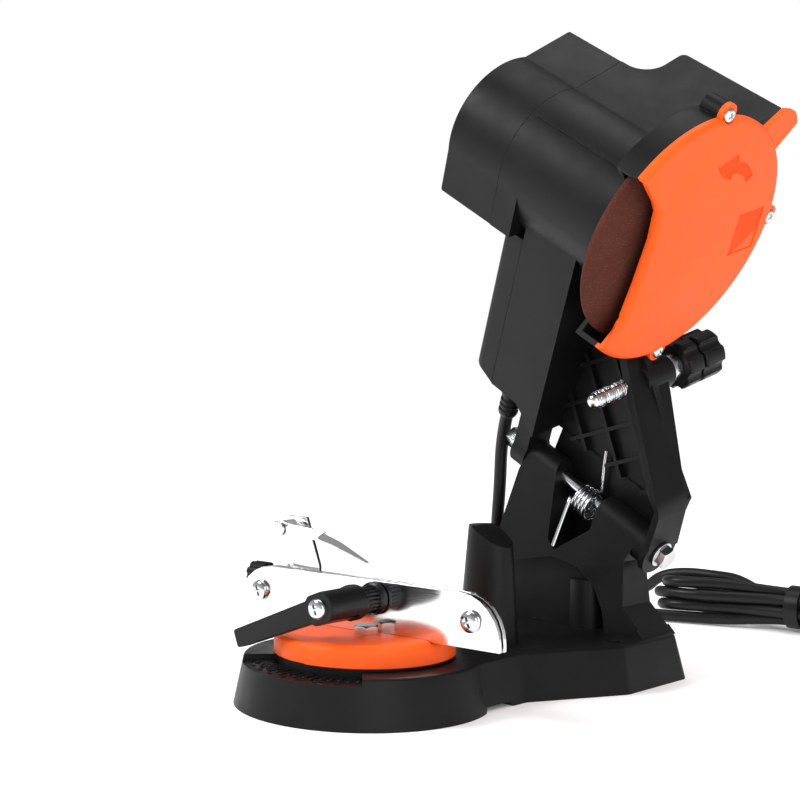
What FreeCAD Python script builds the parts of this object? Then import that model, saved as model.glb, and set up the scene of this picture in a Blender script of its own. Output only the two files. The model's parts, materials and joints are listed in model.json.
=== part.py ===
import FreeCAD, Part
import math
import os
import Sketcher
from FreeCAD import Placement, Rotation, Vector

# Electric chainsaw sharpener, in millimetres. World frame: the origin is the turntable's axis on the plane
# the base stands on, X runs along the bar guide, Y points to the rear and Z is up.
# Head pieces use the arm frame: its origin is on the pivot bolt's line, X runs along the bolt and the motor
# shaft towards the grinding wheel, Z points up the arm and Y out of its back.

doc = FreeCAD.newDocument("chain_sharpener")
sheet = doc.addObject("Spreadsheet::Sheet", "sizes")

SIZES = {
    "attitude of the head and turntable": {
        "head_tilt": 30,
        "arm_lean": 20,
        "table_turn": 4,
        "pivot_back": 134,
        "pivot_up": 84,
    },
    "clearances": {
        "running_gap": 0.15,
        "shaft_gap": 0.05,
        "seat_gap": 0.3,
        "side_play": 0.4,
    },
    "base": {
        "base_height": 21,
        "base_wall": 3,
        "front_radius": 56,
        "neck_half": 51,
        "neck_back": 50,
        "deck_half": 74,
        "deck_front": 96,
        "base_back": 150,
        "base_draft": 11,
        "scale_depth": 3,
        "scale_inner": 38,
        "scale_outer": 51,
        "scale_half_angle": 42,
        "turret_rise": 1,
        "arch_start": 20,
        "arch_length": 22,
        "arch_height": 2.2,
        "bench_hole": 6.5,
        "bench_hole_x": 60,
        "bench_hole_y": 104,
        "bench_boss": 14,
    },
    "pivot tower": {
        "ear_radius": 14,
        "ear_top": 8,
        "ear_taper": 45,
        "ear_left_out": -58,
        "ear_left_in": -42,
        "ear_right_in": -10,
        "ear_right_out": 16.5,
        "tower_left": 24,
        "valley_x": 12,
        "valley_z": 57,
        "tower_right": 52.5,
        "flare_x": 66,
        "flare_z": 34,
        "cove_depth": 8,
        "column_x": 28,
        "column_radius": 9,
    },
    "stop post": {
        "post_x": 16.5,
        "post_y": 66,
        "post_top": 69.4,
        "post_top_long": 21,
        "post_top_wide": 18,
        "post_foot_long": 30,
        "post_foot_wide": 23,
    },
    "pivot bolt and spring": {
        "bolt_radius": 3,
        "bolt_head_flats": 10,
        "bolt_head_height": 4.5,
        "nut_height": 6.5,
        "washer_radius": 6.5,
        "washer_thickness": 1.2,
        "spring_radius": 7.3,
        "spring_wire": 2,
        "spring_start": -26,
        "spring_coils": 4,
    },
    "arm": {
        "arm_front": -10,
        "arm_back": 11,
        "arm_wall": 3.5,
        "box_left": -103,
        "box_seam": -88.5,
        "box_right": -56,
        "box_bottom": 28,
        "left_boss_out": -67.5,
        "right_wall_in": 22.5,
        "right_wall_out": 26,
        "boss_radius": 9.5,
        "knee": 29,
        "wall_top_x": -30,
        "wall_top_z": 76,
        "panel_tilt": 10,
        "panel_thickness": 3,
        "rib_pitch": 16.5,
        "rib_width": 1.8,
        "rib_height": 3.5,
    },
    "motor barrel and handle box": {
        "wheel_back": 19.5,
        "wheel_up": 139,
        "barrel_radius": 35.4,
        "barrel_wall": 3,
        "barrel_end": -37,
        "barrel_seam": -106,
        "cap_end": -142,
        "foot_end": -93,
        "foot_drop": 27,
        "box_angle": 16,
        "flat_height": 32,
        "box_depth": 42,
        "box_short": 44,
        "box_long": 68.5,
        "box_step": -90,
        "box_end": -31,
        "knee_round": 12,
    },
    "guard": {
        "guard_radius": 60.3,
        "guard_wall": 2.5,
        "guard_joint": -25,
        "cover_face": -21,
        "cover_wall": 2.2,
        "mouth_depth": 25,
        "ear_circle": 61.5,
        "ear_size": 5.2,
        "guard_screw": 1.7,
        "guard_head": 3.4,
    },
    "grinding wheel and spindle": {
        "wheel_place": -32,
        "wheel_radius": 54,
        "wheel_thickness": 3.2,
        "wheel_bore": 23,
        "flange_radius": 15,
        "flange_thickness": 3,
        "clamp_thickness": 1.8,
        "shaft_radius": 4,
        "bearing_radius": 11,
        "bearing_width": 7,
        "stator_radius": 29,
        "stator_bore": 17.6,
        "stator_length": 34,
        "stator_start": -106,
        "rotor_radius": 17,
        "commutator_radius": 9,
        "fan_radius": 27,
    },
    "depth stop screw": {
        "stop_place": -23,
        "stop_up": 62.7,
        "stop_tip": -17,
        "stop_radius": 4,
        "stop_boss_back": 34,
        "lock_start": 41,
        "lock_length": 10,
        "knob_start": 52.5,
        "knob_length": 14,
        "knob_radius": 12,
        "knob_lobes": 6,
    },
    "turntable": {
        "table_radius": 40,
        "table_bottom": 22.3,
        "table_top": 32,
        "table_wall": 3,
        "table_round": 4.5,
        "stub_radius": 6,
        "pointer_step": 0.8,
    },
    "bar guide vise": {
        "plate_half": 72,
        "plate_bottom": 31,
        "plate_top": 54,
        "plate_thickness": 2,
        "plate_corner": 20,
        "chain_slot": 1.6,
        "guide_screw_x": 58,
        "guide_screw_z": 42.5,
        "guide_screw_radius": 2.5,
        "vise_bolt_x": 8.5,
        "vise_bolt_y": 9.5,
        "vise_bolt_radius": 3,
        "foot_thickness": 2,
    },
    "clamping lever": {
        "clamp_x": 8,
        "clamp_z": 46.4,
        "stud_radius": 4,
        "collar_radius": 6,
        "collar_end": 15,
        "hub_radius": 7.6,
        "hub_end": 41,
        "lever_reach": 50,
        "lever_angle": 21.8,
        "lever_root": 10,
        "lever_tip": 8,
        "lever_depth": 7,
    },
    "chain stop": {
        "stop_pin_x": 43,
        "stop_pin_z": 72,
        "pawl_width": 9,
        "pawl_thickness": 1.6,
        "pawl_bend_x": 14,
        "pawl_bend_z": 67,
        "pawl_tip_x": 3,
        "pawl_tip_z": 60.5,
        "stop_slot_x": 38,
        "stop_travel": 4,
    },
    "power cord": {
        "cord_radius": 3.2,
        "relief_radius": 5,
        "relief_length": 14.5,
        "relief_place": -79,
        "relief_depth": -4,
        "hank_width": 46,
        "hank_height": 26.2,
        "hank_length": 170,
        "hank_waist": 10.5,
        "tie_width": 8,
        "plug_radius": 8,
        "plug_length": 36,
    },
    "switch": {
        "switch_place": -68,
        "switch_height": 10,
        "switch_long": 18.8,
        "switch_wide": 11.8,
        "bezel_edge": 2.2,
        "rocker_tilt": 6,
    },
}


class Size:
    """A number together with the spreadsheet expression that yields it."""

    def __init__(self, value, text):
        self.value = float(value)
        self.text = text

    def __add__(self, other):
        return Size(self.value + number(other), f"({self.text} + {written(other)})")

    def __radd__(self, other):
        return Size(number(other) + self.value, f"({written(other)} + {self.text})")

    def __sub__(self, other):
        return Size(self.value - number(other), f"({self.text} - {written(other)})")

    def __rsub__(self, other):
        return Size(number(other) - self.value, f"({written(other)} - {self.text})")

    def __mul__(self, other):
        return Size(self.value * number(other), f"({self.text} * {written(other)})")

    __rmul__ = __mul__

    def __truediv__(self, other):
        return Size(self.value / number(other), f"({self.text} / {written(other)})")

    def __neg__(self):
        return Size(-self.value, f"(0 - {self.text})")


def number(size):
    return size.value if isinstance(size, Size) else float(size)


def written(size):
    return size.text if isinstance(size, Size) else f"({size})"


def cosine(angle):
    return Size(math.cos(math.radians(number(angle))), f"cos({written(angle)})")


def sine(angle):
    return Size(math.sin(math.radians(number(angle))), f"sin({written(angle)})")


def fill_sheet():
    """Write the driving dimensions and return them by name."""
    row = 1
    named = {}
    for group, entries in SIZES.items():
        sheet.set(f"A{row}", group)
        row += 1
        for name, value in entries.items():
            sheet.set(f"A{row}", name)
            sheet.set(f"B{row}", str(value))
            sheet.setAlias(f"B{row}", name)
            named[name] = Size(value, f"sizes.{name}")
            row += 1
    return named


D = fill_sheet()
doc.recompute()
NODES = {}


def bind(item, prop, size):
    setattr(item, prop, number(size))
    if isinstance(size, Size):
        item.setExpression(prop, size.text)


def vector(x, y, z):
    return Vector(number(x), number(y), number(z))


# ---------------------------------------------------------------- frames
ALONG_X = Rotation(Vector(0, 1, 0), 90)
ALONG_Y = Rotation(Vector(1, 0, 0), -90)
WORLD = Placement()
TABLE = Placement(Vector(), Rotation(Vector(0, 0, 1), number(D["table_turn"])))
TILT = Rotation(Vector(0, 1, 0), number(D["head_tilt"]))
PIVOT = vector(0, D["pivot_back"], 0) + TILT.multVec(vector(0, 0, D["pivot_up"]))
EARS = Placement(PIVOT, TILT)
ARM = Placement(PIVOT, TILT * Rotation(Vector(1, 0, 0), number(D["arm_lean"])))
WHEEL = ARM * Placement(vector(0, D["wheel_back"], D["wheel_up"]), Rotation())
BOX = WHEEL * Placement(Vector(), Rotation(Vector(1, 0, 0), number(D["box_angle"])))


# ---------------------------------------------------------------- modelling helpers
def body_of(label, frame=WORLD):
    body = doc.addObject("PartDesign::Body", label)
    body.Label = label
    body.Placement = frame
    return body


def keep(label, item):
    """Name an object as the node that its file carries."""
    item.Label = label
    NODES[label] = item
    return item


def draw(body, plane, offset, shapes, origin=(0, 0, 0), turn=None):
    """Sketch circles (x, y, radius) and closed outlines [(x, y), ...] on a plane of the body.
    The plane may be moved to an origin of its own and turned there before it is offset."""
    sketch = body.newObject("Sketcher::SketchObject", f"{body.Name}_sketch")
    for feature in body.Origin.OriginFeatures:
        if feature.Role == f"{plane}_Plane":
            sketch.AttachmentSupport = [(feature, "")]
    sketch.MapMode = "FlatFace"
    lift = Placement(vector(0, 0, offset), Rotation())
    sketch.AttachmentOffset = Placement(vector(*origin), turn or Rotation()) * lift
    if turn is None:
        for axis, place in zip("xyz", (origin[0], origin[1], origin[2] + offset)):
            if isinstance(place, Size):
                sketch.setExpression(f"AttachmentOffset.Base.{axis}", place.text)
    for shape in shapes:
        if isinstance(shape, tuple):
            draw_circle(sketch, *shape)
        else:
            draw_outline(sketch, shape)
    return sketch


def pin_point(sketch, edge, end, x, y):
    """Fix one point of a sketch to its coordinates, bound to the sheet where they come from it."""
    for kind, axis, place in (("DistanceX", -2, x), ("DistanceY", -1, y)):
        if not isinstance(place, Size) and place == 0:
            sketch.addConstraint(Sketcher.Constraint("PointOnObject", edge, end, axis))
            continue
        index = sketch.addConstraint(Sketcher.Constraint(kind, edge, end, number(place)))
        if isinstance(place, Size):
            sketch.setExpression(f"Constraints[{index}]", place.text)


def draw_circle(sketch, x, y, radius):
    circle = Part.Circle(vector(x, y, 0), Vector(0, 0, 1), number(radius))
    edge = sketch.addGeometry(circle, False)
    index = sketch.addConstraint(Sketcher.Constraint("Radius", edge, number(radius)))
    if isinstance(radius, Size):
        sketch.setExpression(f"Constraints[{index}]", radius.text)
    pin_point(sketch, edge, 3, x, y)


def draw_outline(sketch, points):
    corners = [vector(x, y, 0) for x, y in points]
    first = sketch.GeometryCount
    for start, end in zip(corners, corners[1:] + corners[:1]):
        sketch.addGeometry(Part.LineSegment(start, end), False)
    count = len(points)
    for index in range(count):
        after = first + (index + 1) % count
        sketch.addConstraint(Sketcher.Constraint("Coincident", first + index, 2, after, 1))
    for index, (x, y) in enumerate(points):
        pin_point(sketch, first + index, 1, x, y)


def extrude(kind, body, plane, start, end, shapes, taper=0, origin=(0, 0, 0), turn=None):
    """Pad or pocket shapes between two positions along the plane's axis."""
    outward = plane == "XZ"
    offset = -1 * end if outward else start
    sketch = draw(body, plane, offset, shapes, origin, turn)
    feature = body.newObject(f"PartDesign::{kind}", f"{body.Name}_{kind.lower()}")
    feature.Profile = sketch
    bind(feature, "Length", end - start)
    feature.Reversed = kind == "Pocket"
    if number(taper):
        bind(feature, "TaperAngle", taper)
    sketch.Visibility = False
    doc.recompute()
    body.Tip = feature
    return feature


def pad(body, plane, start, end, *shapes, **placing):
    return extrude("Pad", body, plane, start, end, shapes, **placing)


def cut(body, plane, start, end, *shapes, **placing):
    before = body.Shape.Volume
    feature = extrude("Pocket", body, plane, start, end, shapes, **placing)
    if body.Shape.Volume > before - 1e-3:
        print("cut removes nothing:", body.Label, feature.Name)
    return feature


def spin(kind, body, outline):
    """Revolve or groove an (radius, height) outline about the body's Z axis."""
    sketch = draw(body, "XZ", 0, [outline])
    feature = body.newObject(f"PartDesign::{kind}", f"{body.Name}_{kind.lower()}")
    feature.Profile = sketch
    feature.ReferenceAxis = (sketch, ["V_Axis"])
    feature.Angle = 360
    doc.recompute()
    body.Tip = feature
    return feature


def primitive(kind, body, place, **sizes):
    """Add or cut a cylinder, box, cone or prism whose sizes come from the sheet."""
    feature = body.newObject(f"PartDesign::{kind}", f"{body.Name}_{kind.lower()}")
    for prop, size in sizes.items():
        bind(feature, prop, size)
    feature.Placement = place
    doc.recompute()
    body.Tip = feature
    return feature


def edges_where(feature, test):
    return [f"Edge{i + 1}" for i, edge in enumerate(feature.Shape.Edges) if test(edge)]


def middle(edge):
    return edge.CenterOfMass


def runs_along(edge, direction):
    if edge.Curve.TypeId != "Part::GeomLine":
        return False
    run = edge.Vertexes[-1].Point - edge.Vertexes[0].Point
    return abs(abs(run.normalize().dot(direction)) - 1) < 1e-4


def soften(kind, body, test, radius):
    """Fillet or chamfer the edges that pass a test."""
    sharp = body.Tip
    names = edges_where(sharp, test)
    if not names:
        print("nothing to soften:", body.Label)
        return None
    feature = body.newObject(f"PartDesign::{kind}", f"{body.Name}_{kind.lower()}")
    feature.Base = (sharp, names)
    bind(feature, "Radius" if kind == "Fillet" else "Size", radius)
    doc.recompute()
    body.Tip = feature
    return feature


def fillet(body, test, radius):
    return soften("Fillet", body, test, radius)


def chamfer(body, test, size):
    return soften("Chamfer", body, test, size)


def turned(label, frame, outline):
    """A piece made on a lathe: an outline of (radius, height) spun about its own axis."""
    body = body_of(label, frame)
    spin("Revolution", body, outline)
    return body


def at(frame, x, y, z, rotation=None):
    return frame * Placement(vector(x, y, z), rotation or Rotation())


def ring(outer, inner, start, end):
    return [(inner, start), (outer, start), (outer, end), (inner, end)]


def rod(radius, start, end):
    return [(0, start), (radius, start), (radius, end), (0, end)]


def box_points(x1, y1, x2, y2):
    return [(x1, y1), (x2, y1), (x2, y2), (x1, y2)]


def hexagon(flats, turn=0):
    reach = flats / 2 / math.cos(math.radians(30))
    return [(reach * math.cos(math.radians(60 * i + turn)), reach * math.sin(math.radians(60 * i + turn)))
            for i in range(6)]


def group(label, bodies):
    """Several like pieces in one node, each a solid of its own."""
    compound = doc.addObject("Part::Compound", label)
    compound.Links = bodies
    return keep(label, compound)


# ---------------------------------------------------------------- base
def in_ears(along, across):
    """A point of the pivot frame's own XZ plane, given from the world's origin, as world X and Z."""
    c = cosine(D["head_tilt"])
    s = sine(D["head_tilt"])
    return (along * c + across * s, across * c - along * s)


def inset(points, wall):
    """The outline moved inwards by a wall; points run anticlockwise."""
    flat = [(number(x), number(y)) for x, y in points]
    count = len(flat)
    moved = []
    for i in range(count):
        ends = [flat[i - 1], flat[i], flat[(i + 1) % count]]
        lines = []
        for (x1, y1), (x2, y2) in zip(ends, ends[1:]):
            length = math.hypot(x2 - x1, y2 - y1)
            nx, ny = (y1 - y2) / length, (x2 - x1) / length
            lines.append((nx, ny, nx * x1 + ny * y1 + number(wall)))
        (a1, b1, c1), (a2, b2, c2) = lines
        det = a1 * b2 - a2 * b1
        if abs(det) < 1e-6:
            moved.append((a1 * c1, b1 * c1))
        else:
            moved.append(((c1 * b2 - c2 * b1) / det, (a1 * c2 - a2 * c1) / det))
    return moved


def deck_outline():
    return [(-D["neck_half"], 0), (D["neck_half"], 0), (D["neck_half"], D["neck_back"]),
            (D["deck_half"], D["deck_front"]), (D["deck_half"], D["base_back"]),
            (-D["deck_half"], D["base_back"]), (-D["deck_half"], D["deck_front"]),
            (-D["neck_half"], D["neck_back"])]


def tower_outline():
    """The front view of the tower, whose two ears carry the pivot bolt."""
    top = D["pivot_up"] + D["ear_top"]
    return [(-D["tower_left"], D["base_height"] - 1),
            (D["flare_x"], D["base_height"] - 1),
            (D["tower_right"], D["flare_z"]),
            in_ears(D["ear_right_out"], D["pivot_up"] - D["boss_radius"] - 1.5),
            in_ears(D["ear_right_out"], top),
            in_ears(D["ear_right_in"], top),
            in_ears(D["ear_right_in"], D["pivot_up"]),
            (D["valley_x"] + 19, D["valley_z"] + 11),
            (D["valley_x"], D["valley_z"]),
            (D["valley_x"] - 4, D["valley_z"] + 5),
            in_ears(D["ear_left_in"], top),
            in_ears(D["ear_left_out"], top),
            in_ears(D["ear_left_out"], D["pivot_up"] - 8),
            (-D["tower_left"] + 2, D["base_height"] + 39)]


def make_base():
    body = body_of("base")
    draft = -D["base_draft"]
    pad(body, "XY", 0, D["base_height"], (0, 0, D["front_radius"]), taper=draft)
    pad(body, "XY", 0, D["base_height"], deck_outline(), taper=draft)
    neck = number(D["neck_half"])
    bend = number(D["neck_back"])
    upright = lambda edge: edge.BoundBox.ZLength > number(D["base_height"]) - 1
    corners = lambda edge: upright(edge) and abs(middle(edge).x) > neck - 6 and middle(edge).y > bend - 10
    fillet(body, corners, 8)
    fillet(body, lambda edge: edge.BoundBox.ZMin > number(D["base_height"]) - 0.1, 1.5)

    # hollow underneath, with a boss for the turntable's axle and one round each bench hole
    roof = D["base_height"] - D["base_wall"]
    margin = D["base_wall"] + 3
    cut(body, "XY", 0, roof - D["scale_depth"], (0, 0, D["front_radius"] - margin))
    cut(body, "XY", 0, roof, inset(deck_outline()[2:6] + [(-D["deck_half"], D["deck_front"]),
                                                          (-D["neck_half"], D["neck_back"])], margin))
    cut(body, "XY", 0, roof - D["scale_depth"], box_points(margin - D["neck_half"], 10,
                                                           D["neck_half"] - margin, D["neck_back"]))
    pad(body, "XY", 7, roof, (0, 0, D["stub_radius"] * 2))
    places = [(side * D["bench_hole_x"], D["bench_hole_y"]) for side in (-1, 1)]
    pad(body, "XY", 0, roof + 1, *[(x, y, D["bench_boss"] / 2) for x, y in places])
    cut(body, "XY", 0, D["base_height"], *[(x, y, D["bench_hole"] / 2) for x, y in places])

    # turret ring under the turntable, and the sunken scale in front of it
    top = D["base_height"] + D["turret_rise"]
    start = Rotation(Vector(0, 0, 1), -90 - number(D["scale_half_angle"]))
    floor = D["base_height"] - D["scale_depth"]
    primitive("SubtractiveCylinder", body, Placement(vector(0, 0, floor), start),
              Radius=D["front_radius"] + 5, Height=D["base_height"], Angle=D["scale_half_angle"] * 2)
    pad(body, "XY", floor - 1, top, (0, 0, D["scale_inner"]))
    cut(body, "XY", 7, top, (0, 0, D["stub_radius"] + D["shaft_gap"]))

    # finger arches between the feet
    arch = [(D["arch_start"], -1), (D["arch_start"] + D["arch_length"], -1),
            (D["arch_start"] + D["arch_length"] - 3, D["arch_height"]), (D["arch_start"] + 3, D["arch_height"])]
    cut(body, "YZ", -1 * D["deck_half"], D["deck_half"], arch)
    make_tower(body)
    make_stop_post(body)
    return keep("base", body)


def make_tower(body):
    front = D["pivot_back"] - D["ear_radius"]
    back = D["pivot_back"] + D["ear_radius"]
    pad(body, "XZ", front, back, tower_outline())
    axis = TILT.multVec(Vector(1, 0, 0))
    crest = TILT.multVec(Vector(0, 0, 1))
    reach = D["ear_radius"] + 0.2
    top = D["ear_top"]
    for side in (-1, 1):
        wedge = [(reach * side, top + 4), (top * side, top + 4), (top * side, 0), (reach * side, -D["ear_taper"])]
        cut(body, "YZ", D["ear_left_out"] - 1, D["ear_right_out"] + 25, wedge,
            origin=(PIVOT.y, PIVOT.z, PIVOT.x), turn=Rotation(Vector(1, 0, 0), number(D["head_tilt"])))
    level = number(D["pivot_up"] + top)
    rounded = lambda edge: runs_along(edge, axis) and abs(middle(edge).dot(crest) - level) < 0.01
    fillet(body, rounded, top - 0.1)
    ears = D["ear_right_out"] - D["ear_left_out"]
    primitive("SubtractiveCylinder", body, at(EARS, D["ear_left_out"] - 1, 0, 0, ALONG_X),
              Radius=D["bolt_radius"] + D["shaft_gap"], Height=ears + 2)

    # the cove under the curved lip, and the round column that is left standing in it
    z = D["base_height"]
    cove = [(-D["tower_left"] - 6, z), (44, z), (42, z + 9), (36, z + 21), (26, z + 29), (12, z + 33),
            (-10, z + 29), (-D["tower_left"] - 6, z + 29)]
    cut(body, "XZ", front, front + D["cove_depth"], cove)
    primitive("AdditiveCylinder", body, at(WORLD, D["column_x"], front + D["column_radius"], z - 1),
              Radius=D["column_radius"], Height=24)
    inside = front + D["cove_depth"] + D["base_wall"]
    hollow = [(-D["tower_left"] + 4, -1), (D["flare_x"] - 6, -1), (D["flare_x"] - 6, z - 3),
              (D["tower_right"] - 4, D["flare_z"] - 2), (D["tower_right"] - 4, D["flare_z"] + 18),
              (D["valley_x"], D["valley_z"] - 6), (-D["tower_left"] + 6, D["valley_z"] - 6)]
    cut(body, "XZ", inside, back - D["base_wall"], hollow)


def draw_ellipse(body, height, x, y, half_x, half_y):
    """An ellipse sketched at a height, with its axes bound to the sheet."""
    sketch = draw(body, "XY", height, [])
    oval = Part.Ellipse(vector(x, y, 0), number(half_x), number(half_y))
    edge = sketch.addGeometry(oval, False)
    sketch.exposeInternalGeometry(edge)
    sketch.addConstraint(Sketcher.Constraint("Horizontal", edge + 1))
    for line, half in ((edge + 1, half_x), (edge + 2, half_y)):
        index = sketch.addConstraint(Sketcher.Constraint("Distance", line, number(half) * 2))
        sketch.setExpression(f"Constraints[{index}]", (half * 2).text)
    pin_point(sketch, edge, 3, x, y)
    return sketch


def make_stop_post(body):
    """The tapered post that the depth screw lands on, its top square to the lowered screw."""
    x = D["post_x"]
    y = D["post_y"]
    low = draw_ellipse(body, D["base_height"] - 1, x, y, D["post_foot_long"] / 2, D["post_foot_wide"] / 2)
    high = draw_ellipse(body, D["post_top"] + 4, x, y, D["post_top_long"] / 2, D["post_top_wide"] / 2)
    loft = body.newObject("PartDesign::AdditiveLoft", "stop_post")
    loft.Profile = low
    loft.Sections = [high]
    doc.recompute()
    body.Tip = loft
    primitive("SubtractiveBox", body, at(Placement(Vector(), TILT), -60, D["post_y"] - 30, D["post_top"]),
              Length=120, Width=60, Height=60)


make_base()


# ---------------------------------------------------------------- pivot bolt and spring
def hex_piece(label, frame, flats, start, end, bore=None):
    """A hexagonal nut or head along the frame's X axis."""
    body = body_of(label, frame)
    shapes = [hexagon(number(flats))]
    if bore is not None:
        shapes.append((0, 0, bore))
    pad(body, "YZ", start, end, *shapes)
    return body


def make_pivot():
    play = D["side_play"]
    right = D["right_wall_out"] + play
    left = D["left_boss_out"] - play
    thick = D["washer_thickness"]
    bolt = hex_piece("pivot_bolt", EARS, D["bolt_head_flats"], right + thick,
                     right + thick + D["bolt_head_height"])
    length = right - left + thick * 2 + D["nut_height"] + 2
    primitive("AdditiveCylinder", bolt, at(WORLD, right + thick - length, 0, 0, ALONG_X),
              Radius=D["bolt_radius"], Height=length)
    keep("pivot_bolt", bolt)
    hole = D["bolt_radius"] + D["shaft_gap"]
    nut = hex_piece("pivot_nut", EARS, D["bolt_head_flats"], left - thick - D["nut_height"], left - thick, hole)
    keep("pivot_nut", nut)
    washers = []
    for name, start in (("washer_at_head", right), ("washer_at_nut", left - thick)):
        frame = at(EARS, start, 0, 0, ALONG_X)
        washers.append(turned(name, frame, ring(D["washer_radius"], hole, 0, thick)))
    group("pivot_washers", washers)


def wire_solid(points, radius):
    """A round wire along straight runs, its corners rounded off by tangent arcs."""
    path, radii = rounded_path(points)
    start = path.Edges[0]
    direction = start.tangentAt(start.FirstParameter)
    profile = Part.Wire(Part.makeCircle(radius, start.valueAt(start.FirstParameter), direction))
    return path.makePipeShell([profile], True, False), path.Length, radii


def rounded_path(points):
    """Straight runs joined by arcs of 0.45 of the shorter run at each point."""
    spots = [Vector(*point) for point in points]
    edges = []
    radii = []
    here = spots[0]
    for before, corner, after in zip(spots, spots[1:], spots[2:]):
        into = (corner - before).normalize()
        out = (after - corner).normalize()
        turn = into.getAngle(out)
        reach = 0.45 * min((corner - before).Length, (after - corner).Length)
        radii.append(reach / math.tan(turn / 2))
        begin = corner - into * reach
        end = corner + out * reach
        bisector = (out - into).normalize()
        halfway = corner + bisector * (radii[-1] / math.cos(turn / 2) - radii[-1])
        edges.append(Part.LineSegment(here, begin).toShape())
        edges.append(Part.Arc(begin, halfway, end).toShape())
        here = end
    edges.append(Part.LineSegment(here, spots[-1]).toShape())
    return Part.Wire(edges), radii


def feature(label, shape, frame=WORLD):
    """A piece shaped by Part's own functions, placed after its shape is set."""
    item = doc.addObject("Part::Feature", label)
    item.Shape = shape
    item.Placement = frame
    return keep(label, item)


def make_spring():
    """The return spring: coils round the bolt, one leg down on the valley and one up behind the panel."""
    radius = number(D["spring_radius"])
    wire = number(D["spring_wire"]) / 2
    pitch = wire * 2.3
    coils = number(D["spring_coils"]) + 0.5
    helix = Part.makeHelix(pitch, pitch * coils, radius)
    profile = Part.Wire(Part.makeCircle(wire, Vector(radius, 0, 0), Vector(0, 1, 0)))
    coil = Part.Wire(helix.Edges).makePipeShell([profile], True, True)
    hang = radius - wire - number(D["bolt_radius"] + D["seat_gap"])
    coil.Placement = at(WORLD, D["spring_start"], 0, -hang, ALONG_X * Rotation(Vector(0, 0, 1), -100))
    ends = sorted((vertex.Point for vertex in helix.Vertexes), key=lambda point: point.z)
    ends = [coil.Placement.multVec(end) for end in ends]
    down = Vector(number(D["spring_start"]) + 8, -number(D["ear_radius"]) + 2, -23)
    up = Vector(ends[1].x - 8, 0, number(D["ear_radius"]) + 6)
    solid = coil
    for end, tip in zip(ends, (down, up)):
        leg = Part.makeCylinder(wire, (tip - end).Length, end, tip - end)
        solid = solid.fuse(leg).fuse(Part.makeSphere(wire, end))
    feature("torsion_spring", solid.removeSplitter(), EARS)


make_pivot()
make_spring()


# ---------------------------------------------------------------- head: arm, barrel and handle box
def wheel_origin(body_plane):
    """Where the motor axis crosses a plane of the arm frame, as a sketch origin."""
    if body_plane == "YZ":
        return (D["wheel_back"], D["wheel_up"], 0)
    return (0, D["wheel_back"], D["wheel_up"])


BOX_TURN = Rotation(Vector(0, 0, 1), number(D["box_angle"]))
BOX_LIFT = Rotation(Vector(1, 0, 0), number(D["box_angle"]))


def box_rear(height):
    """How far back the arm's box reaches at a height."""
    return D["arm_back"] + height * 0.25


def arm_box(body, left, right):
    """The upright box of the arm between two places on its X axis, before the barrel is added."""
    top = D["wheel_up"]
    low = D["box_bottom"]
    slope = [(D["box_left"], low + 6), (D["box_seam"], low), (D["box_seam"] + 18, low - 0.5),
             (D["box_right"] - 4, low - 8), (D["box_right"], low - 12), (D["box_right"], top),
             (D["box_left"], top)]
    pad(body, "XZ", D["arm_front"], box_rear(top), slope)
    behind = [(box_rear(-20), -20), (box_rear(top), top + 1), (box_rear(top) + 20, top + 1),
              (box_rear(top) + 20, -20)]
    cut(body, "YZ", D["box_left"] - 1, D["box_right"] + 1, behind)
    if number(left) > number(D["box_left"]):
        cut(body, "YZ", D["box_left"] - 1, left, box_points(-40, -40, 120, top + 2))
    if number(right) < number(D["box_right"]):
        cut(body, "YZ", right, D["box_right"] + 1, box_points(-40, -40, 120, top + 2))


def arm_cavity(body, left, right, top):
    wall = D["arm_wall"]
    low = D["box_bottom"] + 7
    hollow = [(D["arm_front"] + wall, low), (box_rear(low) - wall, low), (box_rear(top) - wall, top),
              (D["arm_front"] + wall, top)]
    cut(body, "YZ", left, right, hollow)


def barrel_section(body, start, end, foot_start, foot_end, box_corners):
    """The outside of the barrel with its square foot and the flat-topped handle box behind it."""
    radius = D["barrel_radius"]
    pad(body, "YZ", start, end, (0, 0, radius), origin=wheel_origin("YZ"))
    foot = box_points(0.4 - radius, -D["foot_drop"], 0, 0)
    pad(body, "YZ", foot_start, foot_end, foot, origin=wheel_origin("YZ"))
    low = D["flat_height"] - D["box_depth"]
    pad(body, "XY", low, D["flat_height"], box_corners, origin=wheel_origin("XY"), turn=BOX_LIFT)


def box_vertical(body, place, deep, radius):
    """Round the handle box's upright edge at one place of its top view."""
    tall = BOX_LIFT.multVec(Vector(0, 0, 1))
    spot = vector(0, D["wheel_back"], D["wheel_up"]) + BOX_LIFT.multVec(vector(place, deep, 0))
    fillet(body, lambda edge: runs_along(edge, tall) and edge_distance(edge, spot, tall) < 0.2, radius)


def edge_distance(edge, spot, direction):
    """How far a straight edge's line passes from a spot."""
    across = middle(edge) - spot
    return (across - direction * across.dot(direction)).Length


def wall_line(height, thick=0):
    """The side wall's leaning stretch: its place on the arm's X axis at a height."""
    slope = (D["wall_top_x"] - D["right_wall_out"]) / (D["wall_top_z"] - D["knee"])
    return D["right_wall_out"] + slope * (height - D["knee"]) - thick


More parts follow.
